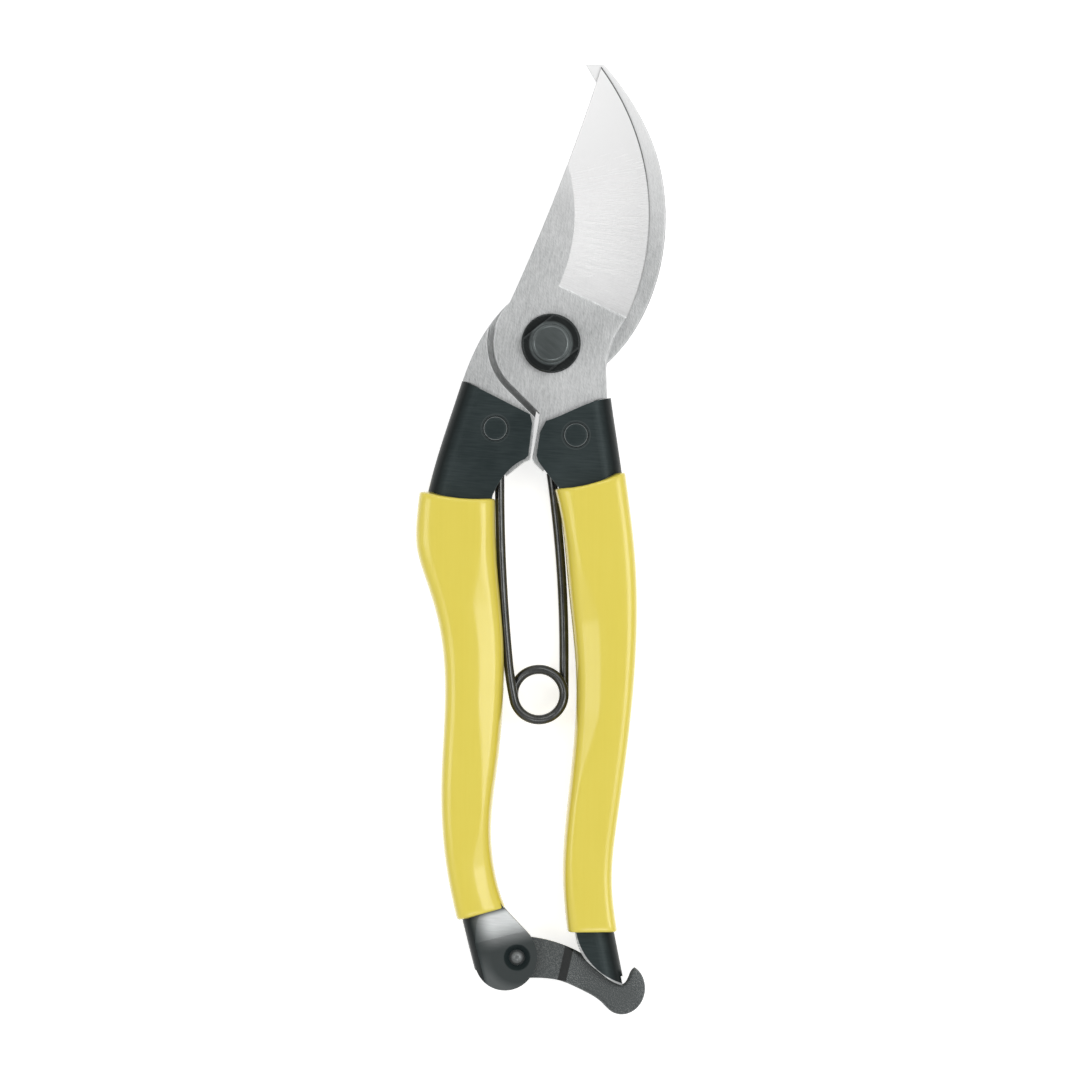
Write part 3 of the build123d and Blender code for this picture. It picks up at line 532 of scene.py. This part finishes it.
# cast catch, with a slope where it steps down to its hooked arm
catchLook = {
    "base": (0.050, 0.058, 0.058), "speck": (0.25, 0.265, 0.265), "speckShare": (0.35, 0.85),
    "fineness": 4.6, "mottleSize": 7.0, "edgeTone": (0.17, 0.18, 0.18), "edgeShare": 0.6,
    "edge": {"Radius": 0.0002, "Gain": 2.0}, "rough": (0.52, 0.36), "bump": (0.00008, 0.6),
    "specular": 0.45, "armShare": 0.45, "step": (0.012, 0.014, 0.014), "stepAt": (2.75, -127.9),
    "stepLean": 12.9, "stepRun": 1.9, "stepTop": (-0.1, 0.05), "stepFade": 0.2,
}


def makeCastBlack():
    look = catchLook
    finish, tree, shader = newFinish("castBlack")
    place = useEffect(tree, placeEffect)["Place"]
    sand = useEffect(tree, sandEffect, Place=place, Fineness=look["fineness"])
    slow = useEffect(tree, mottleEffect, Place=place, Size=look["mottleSize"])["Tone"]
    edge = useEffect(tree, edgeEffect, **look["edge"])
    share = product(tree, sand["Speck"], remap(tree, slow, 0.0, 1.0, *look["speckShare"]))
    tone = blendTone(tree, share, look["base"], look["speck"])
    # paler edges: wear, and partly painted highlight
    worn = calc(tree, "MULTIPLY", edge["Edge"], look["edgeShare"])
    tone = blendTone(tree, worn, tone, look["edgeTone"])
    # how far a place lies past the step, towards the hook
    lean, run = radians(look["stepLean"]), look["stepRun"]
    off = vectorCalc(tree, "SUBTRACT", place, (*look["stepAt"], 0.0))
    past = vectorCalc(tree, "DOT_PRODUCT", off, (cos(lean), -sin(lean), 0.0))
    tone = blendTone(tree, remap(tree, past, 0.0, run, look["armShare"], 0.0), tone, look["base"])
    # painted shade: the sloped face of the step is darkened
    slope = product(tree, remap(tree, past, *look["stepTop"]),
                    remap(tree, past, run, run - look["stepFade"]))
    tone = blendTone(tree, slope, tone, look["step"])
    plug(tree, shader, {
        "Base Color": tone, "Roughness": remap(tree, sand["Speck"], 0.0, 1.0, *look["rough"]),
        "Specular IOR Level": look["specular"],
        "Normal": bumped(tree, sand["Height"], edge["Normal"], *look["bump"])})
    return finish


# small turned steel: washer and nut
fastenerLook = {
    "light": (0.62, 0.63, 0.63), "dark": (0.30, 0.31, 0.31), "mottleSize": 1.6,
    "grain": {"Angle": radians(20), "Fineness": 6.0, "Stretch": 5.0},
    "edge": {"Radius": 0.0002, "Gain": 3.0}, "rough": (0.42, 0.28), "bump": (0.00001, 0.6),
    "metallic": 0.95,
}


def makeTurnedSteel():
    look = fastenerLook
    finish, tree, shader = newFinish("turnedSteel")
    place = useEffect(tree, placeEffect)["Place"]
    fine = useEffect(tree, grainEffect, Place=place, **look["grain"])["Grain"]
    slow = useEffect(tree, mottleEffect, Place=place, Size=look["mottleSize"])["Tone"]
    edge = useEffect(tree, edgeEffect, **look["edge"])
    uneven = calc(tree, "MULTIPLY", calc(tree, "ADD", fine, slow), 0.5)
    plug(tree, shader, {
        "Base Color": blendTone(tree, uneven, look["dark"], look["light"]),
        "Roughness": remap(tree, uneven, 0.0, 1.0, *look["rough"]), "Metallic": look["metallic"],
        "Normal": bumped(tree, fine, edge["Normal"], *look["bump"])})
    return finish


# soft vinyl of the sleeves
vinylLook = {
    "base": (0.80, 0.665, 0.09), "pale": (0.83, 0.70, 0.11), "deep": (0.73, 0.59, 0.06),
    "drawn": {"Angle": radians(90), "Fineness": 1.4, "Stretch": 26.0}, "drawnShare": 0.16,
    "mottleSize": 16.0, "mottleShare": 0.5, "skinFineness": 2.4, "skinSpread": (0.3, 0.7),
    "rough": (0.36, 0.44), "bump": (0.000012, 0.35), "specular": 0.2, "coat": 1.0, "coatRough": 0.18,
}


def makeVinyl():
    look = vinylLook
    finish, tree, shader = newFinish("yellowVinyl")
    place = useEffect(tree, placeEffect)["Place"]
    drawn = useEffect(tree, grainEffect, Place=place, **look["drawn"])["Grain"]
    slow = useEffect(tree, mottleEffect, Place=place, Size=look["mottleSize"])["Tone"]
    skin = noiseAt(tree, place, scale=look["skinFineness"], detail=3.0)
    tone = blendTone(tree, calc(tree, "MULTIPLY", slow, look["mottleShare"]), look["base"], look["pale"])
    tone = blendTone(tree, calc(tree, "MULTIPLY", drawn, look["drawnShare"]), tone, look["deep"])
    flat = tree.nodes.new("ShaderNodeNewGeometry").outputs["Normal"]
    plug(tree, shader, {
        "Base Color": tone, "Roughness": remap(tree, skin, *look["skinSpread"], *look["rough"]),
        "Normal": bumped(tree, skin, flat, *look["bump"]), "Specular IOR Level": look["specular"],
        "Coat Weight": look["coat"], "Coat Roughness": look["coatRough"]})
    return finish


# drawn wire of the spring
wireLook = {
    "dark": (0.050, 0.052, 0.051), "light": (0.120, 0.123, 0.121), "rough": (0.26, 0.16),
    "metallic": 0.85, "grain": {"Angle": radians(85), "Fineness": 4.5, "Stretch": 12.0},
    "patchRate": 0.35, "patchSpread": (0.3, 0.7),
}


def makeDrawnWire():
    look = wireLook
    finish, tree, shader = newFinish("drawnWire")
    run = addNode(tree, "ShaderNodeAttribute", attribute_name="wireRun").outputs["Fac"]
    place = useEffect(tree, placeEffect)["Place"]
    line = addNode(tree, "ShaderNodeCombineXYZ", {"X": calc(tree, "MULTIPLY", run, look["patchRate"])})
    patch = remap(tree, noiseAt(tree, line.outputs[0], scale=1.0, detail=3.0), *look["patchSpread"])
    fine = useEffect(tree, grainEffect, Place=place, **look["grain"])["Grain"]
    uneven = calc(tree, "MULTIPLY", calc(tree, "ADD", fine, patch), 0.5)
    plug(tree, shader, {
        "Base Color": blendTone(tree, uneven, look["dark"], look["light"]),
        "Roughness": remap(tree, uneven, 0.0, 1.0, *look["rough"]), "Metallic": look["metallic"]})
    return finish


hookSteel = makePlateSteel("hookSteel", False)
bladeSteel = makePlateSteel("bladeSteel", True)
slateSheet = makeCoat("slateSheet")
ringedSlate = makeCoat("ringedSlate")
blackPivot = makeCoat("blackPivot")
wornRivet = makeCoat("wornRivet")
castBlack = makeCastBlack()
turnedSteel = makeTurnedSteel()
yellowVinyl = makeVinyl()
drawnWire = makeDrawnWire()
cadFinishes = {
    "hook_blade": hookSteel, "cutting_blade": bladeSteel, "pivot_bolt": blackPivot,
    "pivot_head_washer": blackPivot, "pivot_lock_washer": turnedSteel, "pivot_nut": turnedSteel,
    "left_handle_channel": slateSheet, "right_handle_channel": slateSheet, "catch": castBlack,
    "catch_rivet": wornRivet,
}
for nodeName, finish in cadFinishes.items():
    for holder in cadNodes[nodeName].material_slots:
        holder.material = finish
print("finishes:", len(bpy.data.materials), "materials on", len(cadFinishes), "carried-over nodes")


# helpers for pieces made by Geometry Nodes
def newNodeTree(name, inputs):
    tree = bpy.data.node_groups.new(name, "GeometryNodeTree")
    tree.interface.new_socket("Geometry", in_out="INPUT", socket_type="NodeSocketGeometry")
    for title, kind in inputs.items():
        tree.interface.new_socket(title, in_out="INPUT", socket_type="NodeSocket" + kind)
    tree.interface.new_socket("Geometry", in_out="OUTPUT", socket_type="NodeSocketGeometry")
    return tree, tree.nodes.new("NodeGroupInput").outputs


# keeps a number on every point under a name
def markPoints(tree, geometry, title, value):
    made = addNode(tree, "GeometryNodeStoreNamedAttribute", {"Geometry": geometry, "Name": title},
                   data_type="FLOAT", domain="POINT")
    tree.links.new(value, next(s for s in made.inputs if s.name == "Value" and s.enabled))
    return made.outputs[0]


def readMark(tree, title):
    return addNode(tree, "GeometryNodeInputNamedAttribute", {"Name": title},
                   data_type="FLOAT").outputs[0]


def realize(tree, geometry):
    return addNode(tree, "GeometryNodeRealizeInstances", {"Geometry": geometry}).outputs[0]


# the end of every tree
def dressAndPut(tree, geometry, finish):
    smooth = addNode(tree, "GeometryNodeSetShadeSmooth", {"Geometry": geometry}).outputs[0]
    dressed = addNode(tree, "GeometryNodeSetMaterial",
                      {"Geometry": realize(tree, smooth), "Material": finish})
    plug(tree, tree.nodes.new("NodeGroupOutput"), {0: dressed.outputs[0]})


def socketId(tree, title):
    return next(item.identifier for item in tree.interface.items_tree
                if item.name == title and item.in_out == "INPUT")


# runs a tree on a set of points, then keeps its result as a plain mesh
def growPiece(name, points, edges, tree, values, attributes=None):
    seed = bpy.data.meshes.new(name + "Seed")
    seed.from_pydata([tuple(p) for p in points], edges, [])
    for title, numbers in (attributes or {}).items():
        layer = seed.attributes.new(title, "FLOAT", "POINT")
        layer.data.foreach_set("value", numbers)
    holder = bpy.data.objects.new(name, seed)
    scene.collection.objects.link(holder)
    grower = holder.modifiers.new("grow", "NODES")
    grower.node_group = tree
    for title, value in values.items():
        grower[socketId(tree, title)] = value
    graph = bpy.context.evaluated_depsgraph_get()
    grown = bpy.data.meshes.new_from_object(holder.evaluated_get(graph), preserve_all_data_layers=True,
                                            depsgraph=graph)
    grown.name = name
    holder.modifiers.remove(grower)
    holder.data = grown
    bpy.data.meshes.remove(seed)
    return holder


# spring: one wire, made in three runs
springLook = {
    "wire": 2.0, "sides": 20, "coilCentre": (-2.57, -73.89), "coilRadius": 5.3, "coilDrop": 3.75,
    "coilStart": 192.0, "coilTurn": 528.0, "coilSteps": 110, "tailTurn": 90.0, "tailSteps": 24,
    "leftBends": [(70.0, 5.5), (400.0, -0.2)], "leftSteps": 24,  # radius, last lean of each bend
    "rightRise": 8.0, "riseSteps": 5, "rightRadius": 275.0, "rightLean": 8.07, "rightSteps": 26,
}


def makeWireTree():
    tree, given = newNodeTree("roundWire", {"Wire Radius": "Float", "Sides": "Int",
                                            "Finish": "Material"})
    path = addNode(tree, "GeometryNodeMeshToCurve", {"Mesh": given["Geometry"]})
    run = tree.nodes.new("GeometryNodeSplineParameter").outputs["Length"]
    marked = markPoints(tree, path.outputs[0], "wireRun", calc(tree, "MULTIPLY", run, 1 / mm))
    ring = addNode(tree, "GeometryNodeCurvePrimitiveCircle",
                   {"Resolution": given["Sides"], "Radius": given["Wire Radius"]})
    tube = addNode(tree, "GeometryNodeCurveToMesh",
                   {"Curve": marked, "Profile Curve": ring.outputs["Curve"], "Fill Caps": True})
    dressAndPut(tree, tube.outputs[0], given["Finish"])
    return tree


def coilPlace(share):
    look = springLook
    turn = radians(look["coilStart"] + look["coilTurn"] * share)
    eased = 3 * share ** 2 - 2 * share ** 3
    x, y = look["coilCentre"]
    return fromPivot(x + look["coilRadius"] * cos(turn), y + look["coilRadius"] * sin(turn),
                     look["coilDrop"] * (0.5 - eased))


def makeSpring():
    look = springLook
    tree = makeWireTree()
    values = {"Wire Radius": look["wire"] / 2 * mm, "Sides": look["sides"], "Finish": drawnWire}

    # left leg: a short bend out of the coil, then a slow one up to the tip
    leftRun = [coilPlace(0.0)]
    lean = radians(look["coilStart"] - 180)
    steps = look["leftSteps"]
    for bend, last in look["leftBends"]:
        hub = leftRun[-1] + Vector((cos(lean), sin(lean), 0)) * bend * mm
        turn = radians(last) - lean
        for step in range(1, steps + 1):
            angle = lean + turn * step / steps
            leftRun.append(hub - Vector((cos(angle), sin(angle), 0)) * bend * mm)
        lean += turn
    leftRun.reverse()

    # coil, less its last quarter, which is built with the right leg
    tail = 1 - look["tailTurn"] / look["coilTurn"]
    steps = look["coilSteps"]
    coilRun = [coilPlace(tail * step / steps) for step in range(steps + 1)]
    steps = look["tailSteps"]
    tailRun = [coilPlace(tail + (1 - tail) * step / steps) for step in range(steps + 1)]

    # right leg: straight out of the coil, then one slow bend
    end = tailRun[-1]
    rise = Vector((0, look["rightRise"] * mm, 0))
    steps = look["riseSteps"]
    rightRun = tailRun + [end + rise * step / steps for step in range(1, steps + 1)]
    steps, bow = look["rightSteps"], look["rightRadius"] * mm
    for step in range(1, steps + 1):
        sway = radians(look["rightLean"]) * step / steps
        rightRun.append(end + rise + Vector((cos(sway) - 1, sin(sway), 0)) * bow)

    made = {}
    for name, run in (("springLeftLeg", leftRun), ("springCoil", coilRun), ("springRightLeg", rightRun)):
        links = [(i, i + 1) for i in range(len(run) - 1)]
        made[name] = growPiece(name, run, links, tree, values)
    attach(made["springCoil"], "spring")
    tip, foot = leftRun[0], leftRun[-1]
    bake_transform(made["springLeftLeg"])
    tip, foot = rightRun[-1], tailRun[0]
    foot = Vector((end.x, foot.y, end.z))  # level of the coil's lowest point, under the leg
    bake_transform(made["springRightLeg"])
    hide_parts("spring")


makeSpring()
print("spring: three runs of one wire")


# flush rivets of the handles
rivetLook = {
    "radius": 2.63, "sides": 56, "rings": 26, "half": {"upper": 5.06, "lower": 4.9},
    "crown": 0.05, "groove": 0.07, "grooveAt": 0.86, "grooveHalf": 0.07,
    "left": [upperRivets["left"], (-18.6, -36.7)], "right": [upperRivets["right"], (8.2, -37.2)],
}


def makeRivetTree():
    look = rivetLook
    tree, given = newNodeTree("flushRivets", {"Radius": "Float", "Crown": "Float", "Groove": "Float",
                                              "Groove At": "Float", "Finish": "Material"})
    # one pin, 1 mm to each side, that each point stretches to its own half height
    pin = addNode(tree, "GeometryNodeMeshCylinder",
                  {"Vertices": look["sides"], "Side Segments": 1, "Fill Segments": look["rings"],
                   "Radius": given["Radius"], "Depth": 2 * mm}, fill_type="TRIANGLE_FAN")
    spot = tree.nodes.new("GeometryNodeInputPosition").outputs[0]
    reach = vectorCalc(tree, "LENGTH", vectorCalc(tree, "MULTIPLY", spot, (1, 1, 0)))
    share = calc(tree, "DIVIDE", reach, given["Radius"])
    marked = markPoints(tree, pin.outputs["Mesh"], "fromAxis", share)
    size = addNode(tree, "ShaderNodeCombineXYZ", {"X": 1.0, "Y": 1.0, "Z": readMark(tree, "half")})
    many = addNode(tree, "GeometryNodeInstanceOnPoints",
                   {"Points": given["Geometry"], "Instance": marked, "Scale": size.outputs[0]})
    # crowned heads with a fine groove round each
    mark = readMark(tree, "fromAxis")
    dome = calc(tree, "SUBTRACT", 1.0, calc(tree, "POWER", mark, 2.0))
    dome = calc(tree, "MULTIPLY", dome, given["Crown"])
    off = calc(tree, "ABSOLUTE", calc(tree, "SUBTRACT", mark, given["Groove At"]))
    dip = calc(tree, "SUBTRACT", 1.0, calc(tree, "DIVIDE", off, look["grooveHalf"]), clamp=True)
    dip = calc(tree, "MULTIPLY", dip, given["Groove"])
    side = calc(tree, "SIGN", calc(tree, "SUBTRACT", split(tree, spot)["Z"], pivot.z))
    rise = calc(tree, "MULTIPLY", calc(tree, "SUBTRACT", dome, dip), side)
    lift = addNode(tree, "ShaderNodeCombineXYZ", {"Z": rise})
    shaped = addNode(tree, "GeometryNodeSetPosition",
                     {"Geometry": realize(tree, many.outputs[0]), "Offset": lift.outputs[0]})
    dressAndPut(tree, shaped.outputs[0], given["Finish"])
    return tree


def makeRivets():
    look = rivetLook
    tree = makeRivetTree()
    values = {"Radius": look["radius"] * mm, "Crown": look["crown"] * mm, "Groove": look["groove"] * mm,
              "Groove At": look["grooveAt"], "Finish": ringedSlate}
    halves = [look["half"]["upper"], look["half"]["lower"]]
    for side, body in (("left", "hook_handle"), ("right", "blade_handle")):
        points = [fromPivot(*spot) for spot in look[side]]
        piece = growPiece(side + "Rivets", points, [], tree, values, {"half": halves})
        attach(piece, body)
        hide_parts(side + "_upper_rivet", side + "_lower_rivet")


makeRivets()
print("rivets: two on each handle")


# sleeves: one soft tube over each handle
sleeveLook = {
    "left": {
        "outer": [(-26.9, -26.0), (-28.35, -38.0), (-28.3, -42.5), (-26.3, -49.8), (-23.8, -58.2),
                  (-22.35, -70.0), (-23.1, -93.0), (-21.55, -113.0), (-18.85, -125.0)],
        "inner": [(-11.75, -26.0), (-11.72, -36.0), (-11.3, -45.6), (-10.45, -55.0), (-9.8, -64.5),
                  (-9.95, -73.0), (-11.1, -87.7), (-12.6, -103.0), (-12.2, -108.7), (-9.55, -118.8),
                  (-7.2, -123.5)],
        "topCut": [(-32.0, -29.9), (-18.8, -32.6), (-6.0, -31.9)],
        "endCut": [(-6.0, -117.8), (-19.0, -121.05), (-32.0, -124.3)],
        "body": "hook_handle", "outerPower": 6.0,
        # place along the handle, depth of the groove for the spring's leg
        "seat": [(-71.0, 0.0), (-68.0, 0.7), (-63.0, 1.1), (-51.0, 1.1), (-46.0, 0.6), (-41.0, 0.3),
                 (-30.0, 0.3)],
        "seatLevel": 1.875,
        # distance from the top lip, strength of the roof's slope
        "roof": [(6.0, 0.0), (24.0, 1.0), (44.0, 1.0), (60.0, 0.55), (69.0, 0.3), (74.0, 0.4),
                 (82.0, 1.0)],
    },
    "right": {
        "outer": [(15.2, -24.0), (16.4, -33.0), (17.8, -46.0), (18.1, -58.0), (16.75, -79.2),
                  (14.0, -100.3), (12.85, -112.5), (14.7, -128.0)],
        "inner": [(-0.3, -26.0), (0.8, -30.6), (1.9, -35.5), (3.5, -49.8), (5.25, -71.5), (3.5, -96.1),
                  (2.5, -112.9), (4.05, -128.0)],
        "topCut": [(-1.5, -30.6), (8.6, -29.5), (19.0, -25.4)],
        "endCut": [(19.0, -123.7), (8.0, -123.8), (-1.5, -123.9)],
        "body": "blade_handle", "outerPower": 7.0,
        "seat": [(-48.0, 0.0), (-42.0, 0.4), (-36.0, 0.6), (-26.0, 1.1)], "seatLevel": -1.875,
        "roof": [(8.0, 0.0), (28.0, 1.0), (46.0, 1.0), (66.0, 0.0)],
    },
    "half": 6.9, "wall": 2.1, "length": 92.0, "around": 96, "along": 110, "inside": 40,
    "innerPower": 3.0, "roundFrom": 0.55, "roundPower": 3.2, "endPower": 5.0, "squareRun": 22.0,
    "roofSlope": 0.193, "roofRidge": 0.04, "roofShift": 0.8, "roofSoft": 0.014,
    "seatHalf": 1.05, "seatFade": 0.4,
    # distance from the end, inset
    "lip": [(0.0, 1.1), (0.0, 0.55), (0.07, 0.27), (0.22, 0.08), (0.5, 0.0)],
}


# cubic line of even bending through a few points, read at shares of its length
def smoothLine(points):
    spots = np.array(points, float)
    run = np.concatenate([[0.0], np.cumsum(np.linalg.norm(np.diff(spots, axis=0), axis=1))])
    step = np.diff(run)
    matrix = np.eye(len(run))
    pull = np.zeros_like(spots)
    for i in range(1, len(run) - 1):
        matrix[i, i - 1:i + 2] = step[i - 1], 2 * (step[i - 1] + step[i]), step[i]
        pull[i] = 6 * ((spots[i + 1] - spots[i]) / step[i] - (spots[i] - spots[i - 1]) / step[i - 1])
    bend = np.linalg.solve(matrix, pull)

    def at(share):
        t = share * run[-1]
        i = min(max(int(np.searchsorted(run, t)) - 1, 0), len(step) - 1)
        a, b = (run[i + 1] - t) / step[i], (t - run[i]) / step[i]
        return (a * spots[i] + b * spots[i + 1]
                + ((a ** 3 - a) * bend[i] + (b ** 3 - b) * bend[i + 1]) * step[i] ** 2 / 6)
    return at


# height of a cut over x, through its three points
def cutHeight(cut, x):
    total = 0.0
    for i, (px, py) in enumerate(cut):
        part = py
        for j, (qx, qy) in enumerate(cut):
            if i != j:
                part *= (x - qx) / (px - qx)
        total += part
    return total


def held(value):
    return min(max(value, 0.0), 1.0)


# height of the sleeve's top from its ridge over to the inner side: a roof, then a round
def roofFall(wide, roof, square):
    look = sleeveLook
    past = wide - look["roofRidge"] - look["roofShift"] * (1 - roof)
    slope = 1 - look["roofSlope"] * (past + (past * past + look["roofSoft"]) ** 0.5) / 2
    turned = max(0.0, (wide - look["roundFrom"]) / (1 - look["roundFrom"]))
    soft = (1 - turned ** look["roundPower"]) ** (1 / look["roundPower"])
    sharp = (1 - wide ** look["endPower"]) ** (1 / look["endPower"])
    return slope * (soft * (1 - square) + sharp * square)


def makeSleeve(side):
    look = sleeveLook[side]
    outer, inner = smoothLine(look["outer"]), smoothLine(look["inner"])
    half, wall, length = sleeveLook["half"], sleeveLook["wall"], sleeveLook["length"]
    around, along, back = sleeveLook["around"], sleeveLook["along"], sleeveLook["inside"]
    squareRun, seatHalf, seatFade = (sleeveLook[key] for key in ("squareRun", "seatHalf", "seatFade"))

    def meets(cut, share):  # where a line along the sleeve runs into its cut end
        low, high = 0.0, 1.0
        for _ in range(40):
            middle = (low + high) / 2
            x, y = outer(middle) * (1 - share) + inner(middle) * share
            if y > cutHeight(cut, x):
                low = middle
            else:
                high = middle
        return low

    # soft box section, each place with its run from the top cut to the end cut
    section = []
    for step in range(around):
        turn = 2 * pi * (step + 0.5) / around
        c, s = cos(turn), sin(turn)
        power = sleeveLook["innerPower"] if c > 0 else look["outerPower"]
        wide = abs(c) ** (2 / power) * (1 if c > 0 else -1)
        tall = abs(s) ** (2 / power) * (1 if s > 0 else -1)
        share = 0.5 + 0.5 * wide
        section.append((wide, tall, meets(look["topCut"], share), meets(look["endCut"], share)))

    # stations from the top lip over the outside to the lower lip, then back inside
    lip = [(d / length, inset) for d, inset in sleeveLook["lip"]]
    body = [(lip[-1][0] + (1 - 2 * lip[-1][0]) * step / along, 0.0) for step in range(1, along)]
    stations = lip + body + [(1 - d, inset) for d, inset in reversed(lip)]
    stations += [(1 - step / back, wall) for step in range(back + 1)]
    points, faces = [], []
    for reach, inset in stations:
        nearEnd = held((squareRun - min(reach, 1 - reach) * length) / squareRun)
        square = nearEnd * nearEnd * (3 - 2 * nearEnd)
        roof = np.interp(reach * length, *zip(*look["roof"]))
        for wide, level, top, end in section:
            tall = level if wide < 0 else roofFall(wide, roof, square) * (1 if level > 0 else -1)
            spot = top + (end - top) * reach
            a, b = outer(spot), inner(spot)
            span = np.linalg.norm(b - a)
            kept = wide * (1 - 2 * inset / span)
            z = tall * (half - inset)
            if wide > 0 and inset < wall:
                # groove in the side where the spring's leg lies
                near = held((seatHalf - abs(z - look["seatLevel"])) / seatFade)
                kept -= 2 * near * np.interp(b[1], *zip(*look["seat"])) / span
            x, y = (a + b) / 2 + (b - a) / 2 * kept
            points.append(fromPivot(x, y, z))
    rings = len(stations)
    for i in range(rings):
        for j in range(around):
            k, n = (i + 1) % rings, (j + 1) % around
            faces.append((i * around + j, k * around + j, k * around + n, i * around + n))
    mesh = bpy.data.meshes.new(side + "Sleeve")
    mesh.from_pydata([tuple(p) for p in points], [], faces)
    mesh.polygons.foreach_set("use_smooth", [True] * len(faces))
    mesh.materials.append(yellowVinyl)
    mesh.update()
    piece = bpy.data.objects.new(side + "Sleeve", mesh)
    scene.collection.objects.link(piece)
    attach(piece, look["body"])
    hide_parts(side + "_grip")


makeSleeve("left")
makeSleeve("right")
print("sleeves: two soft tubes")
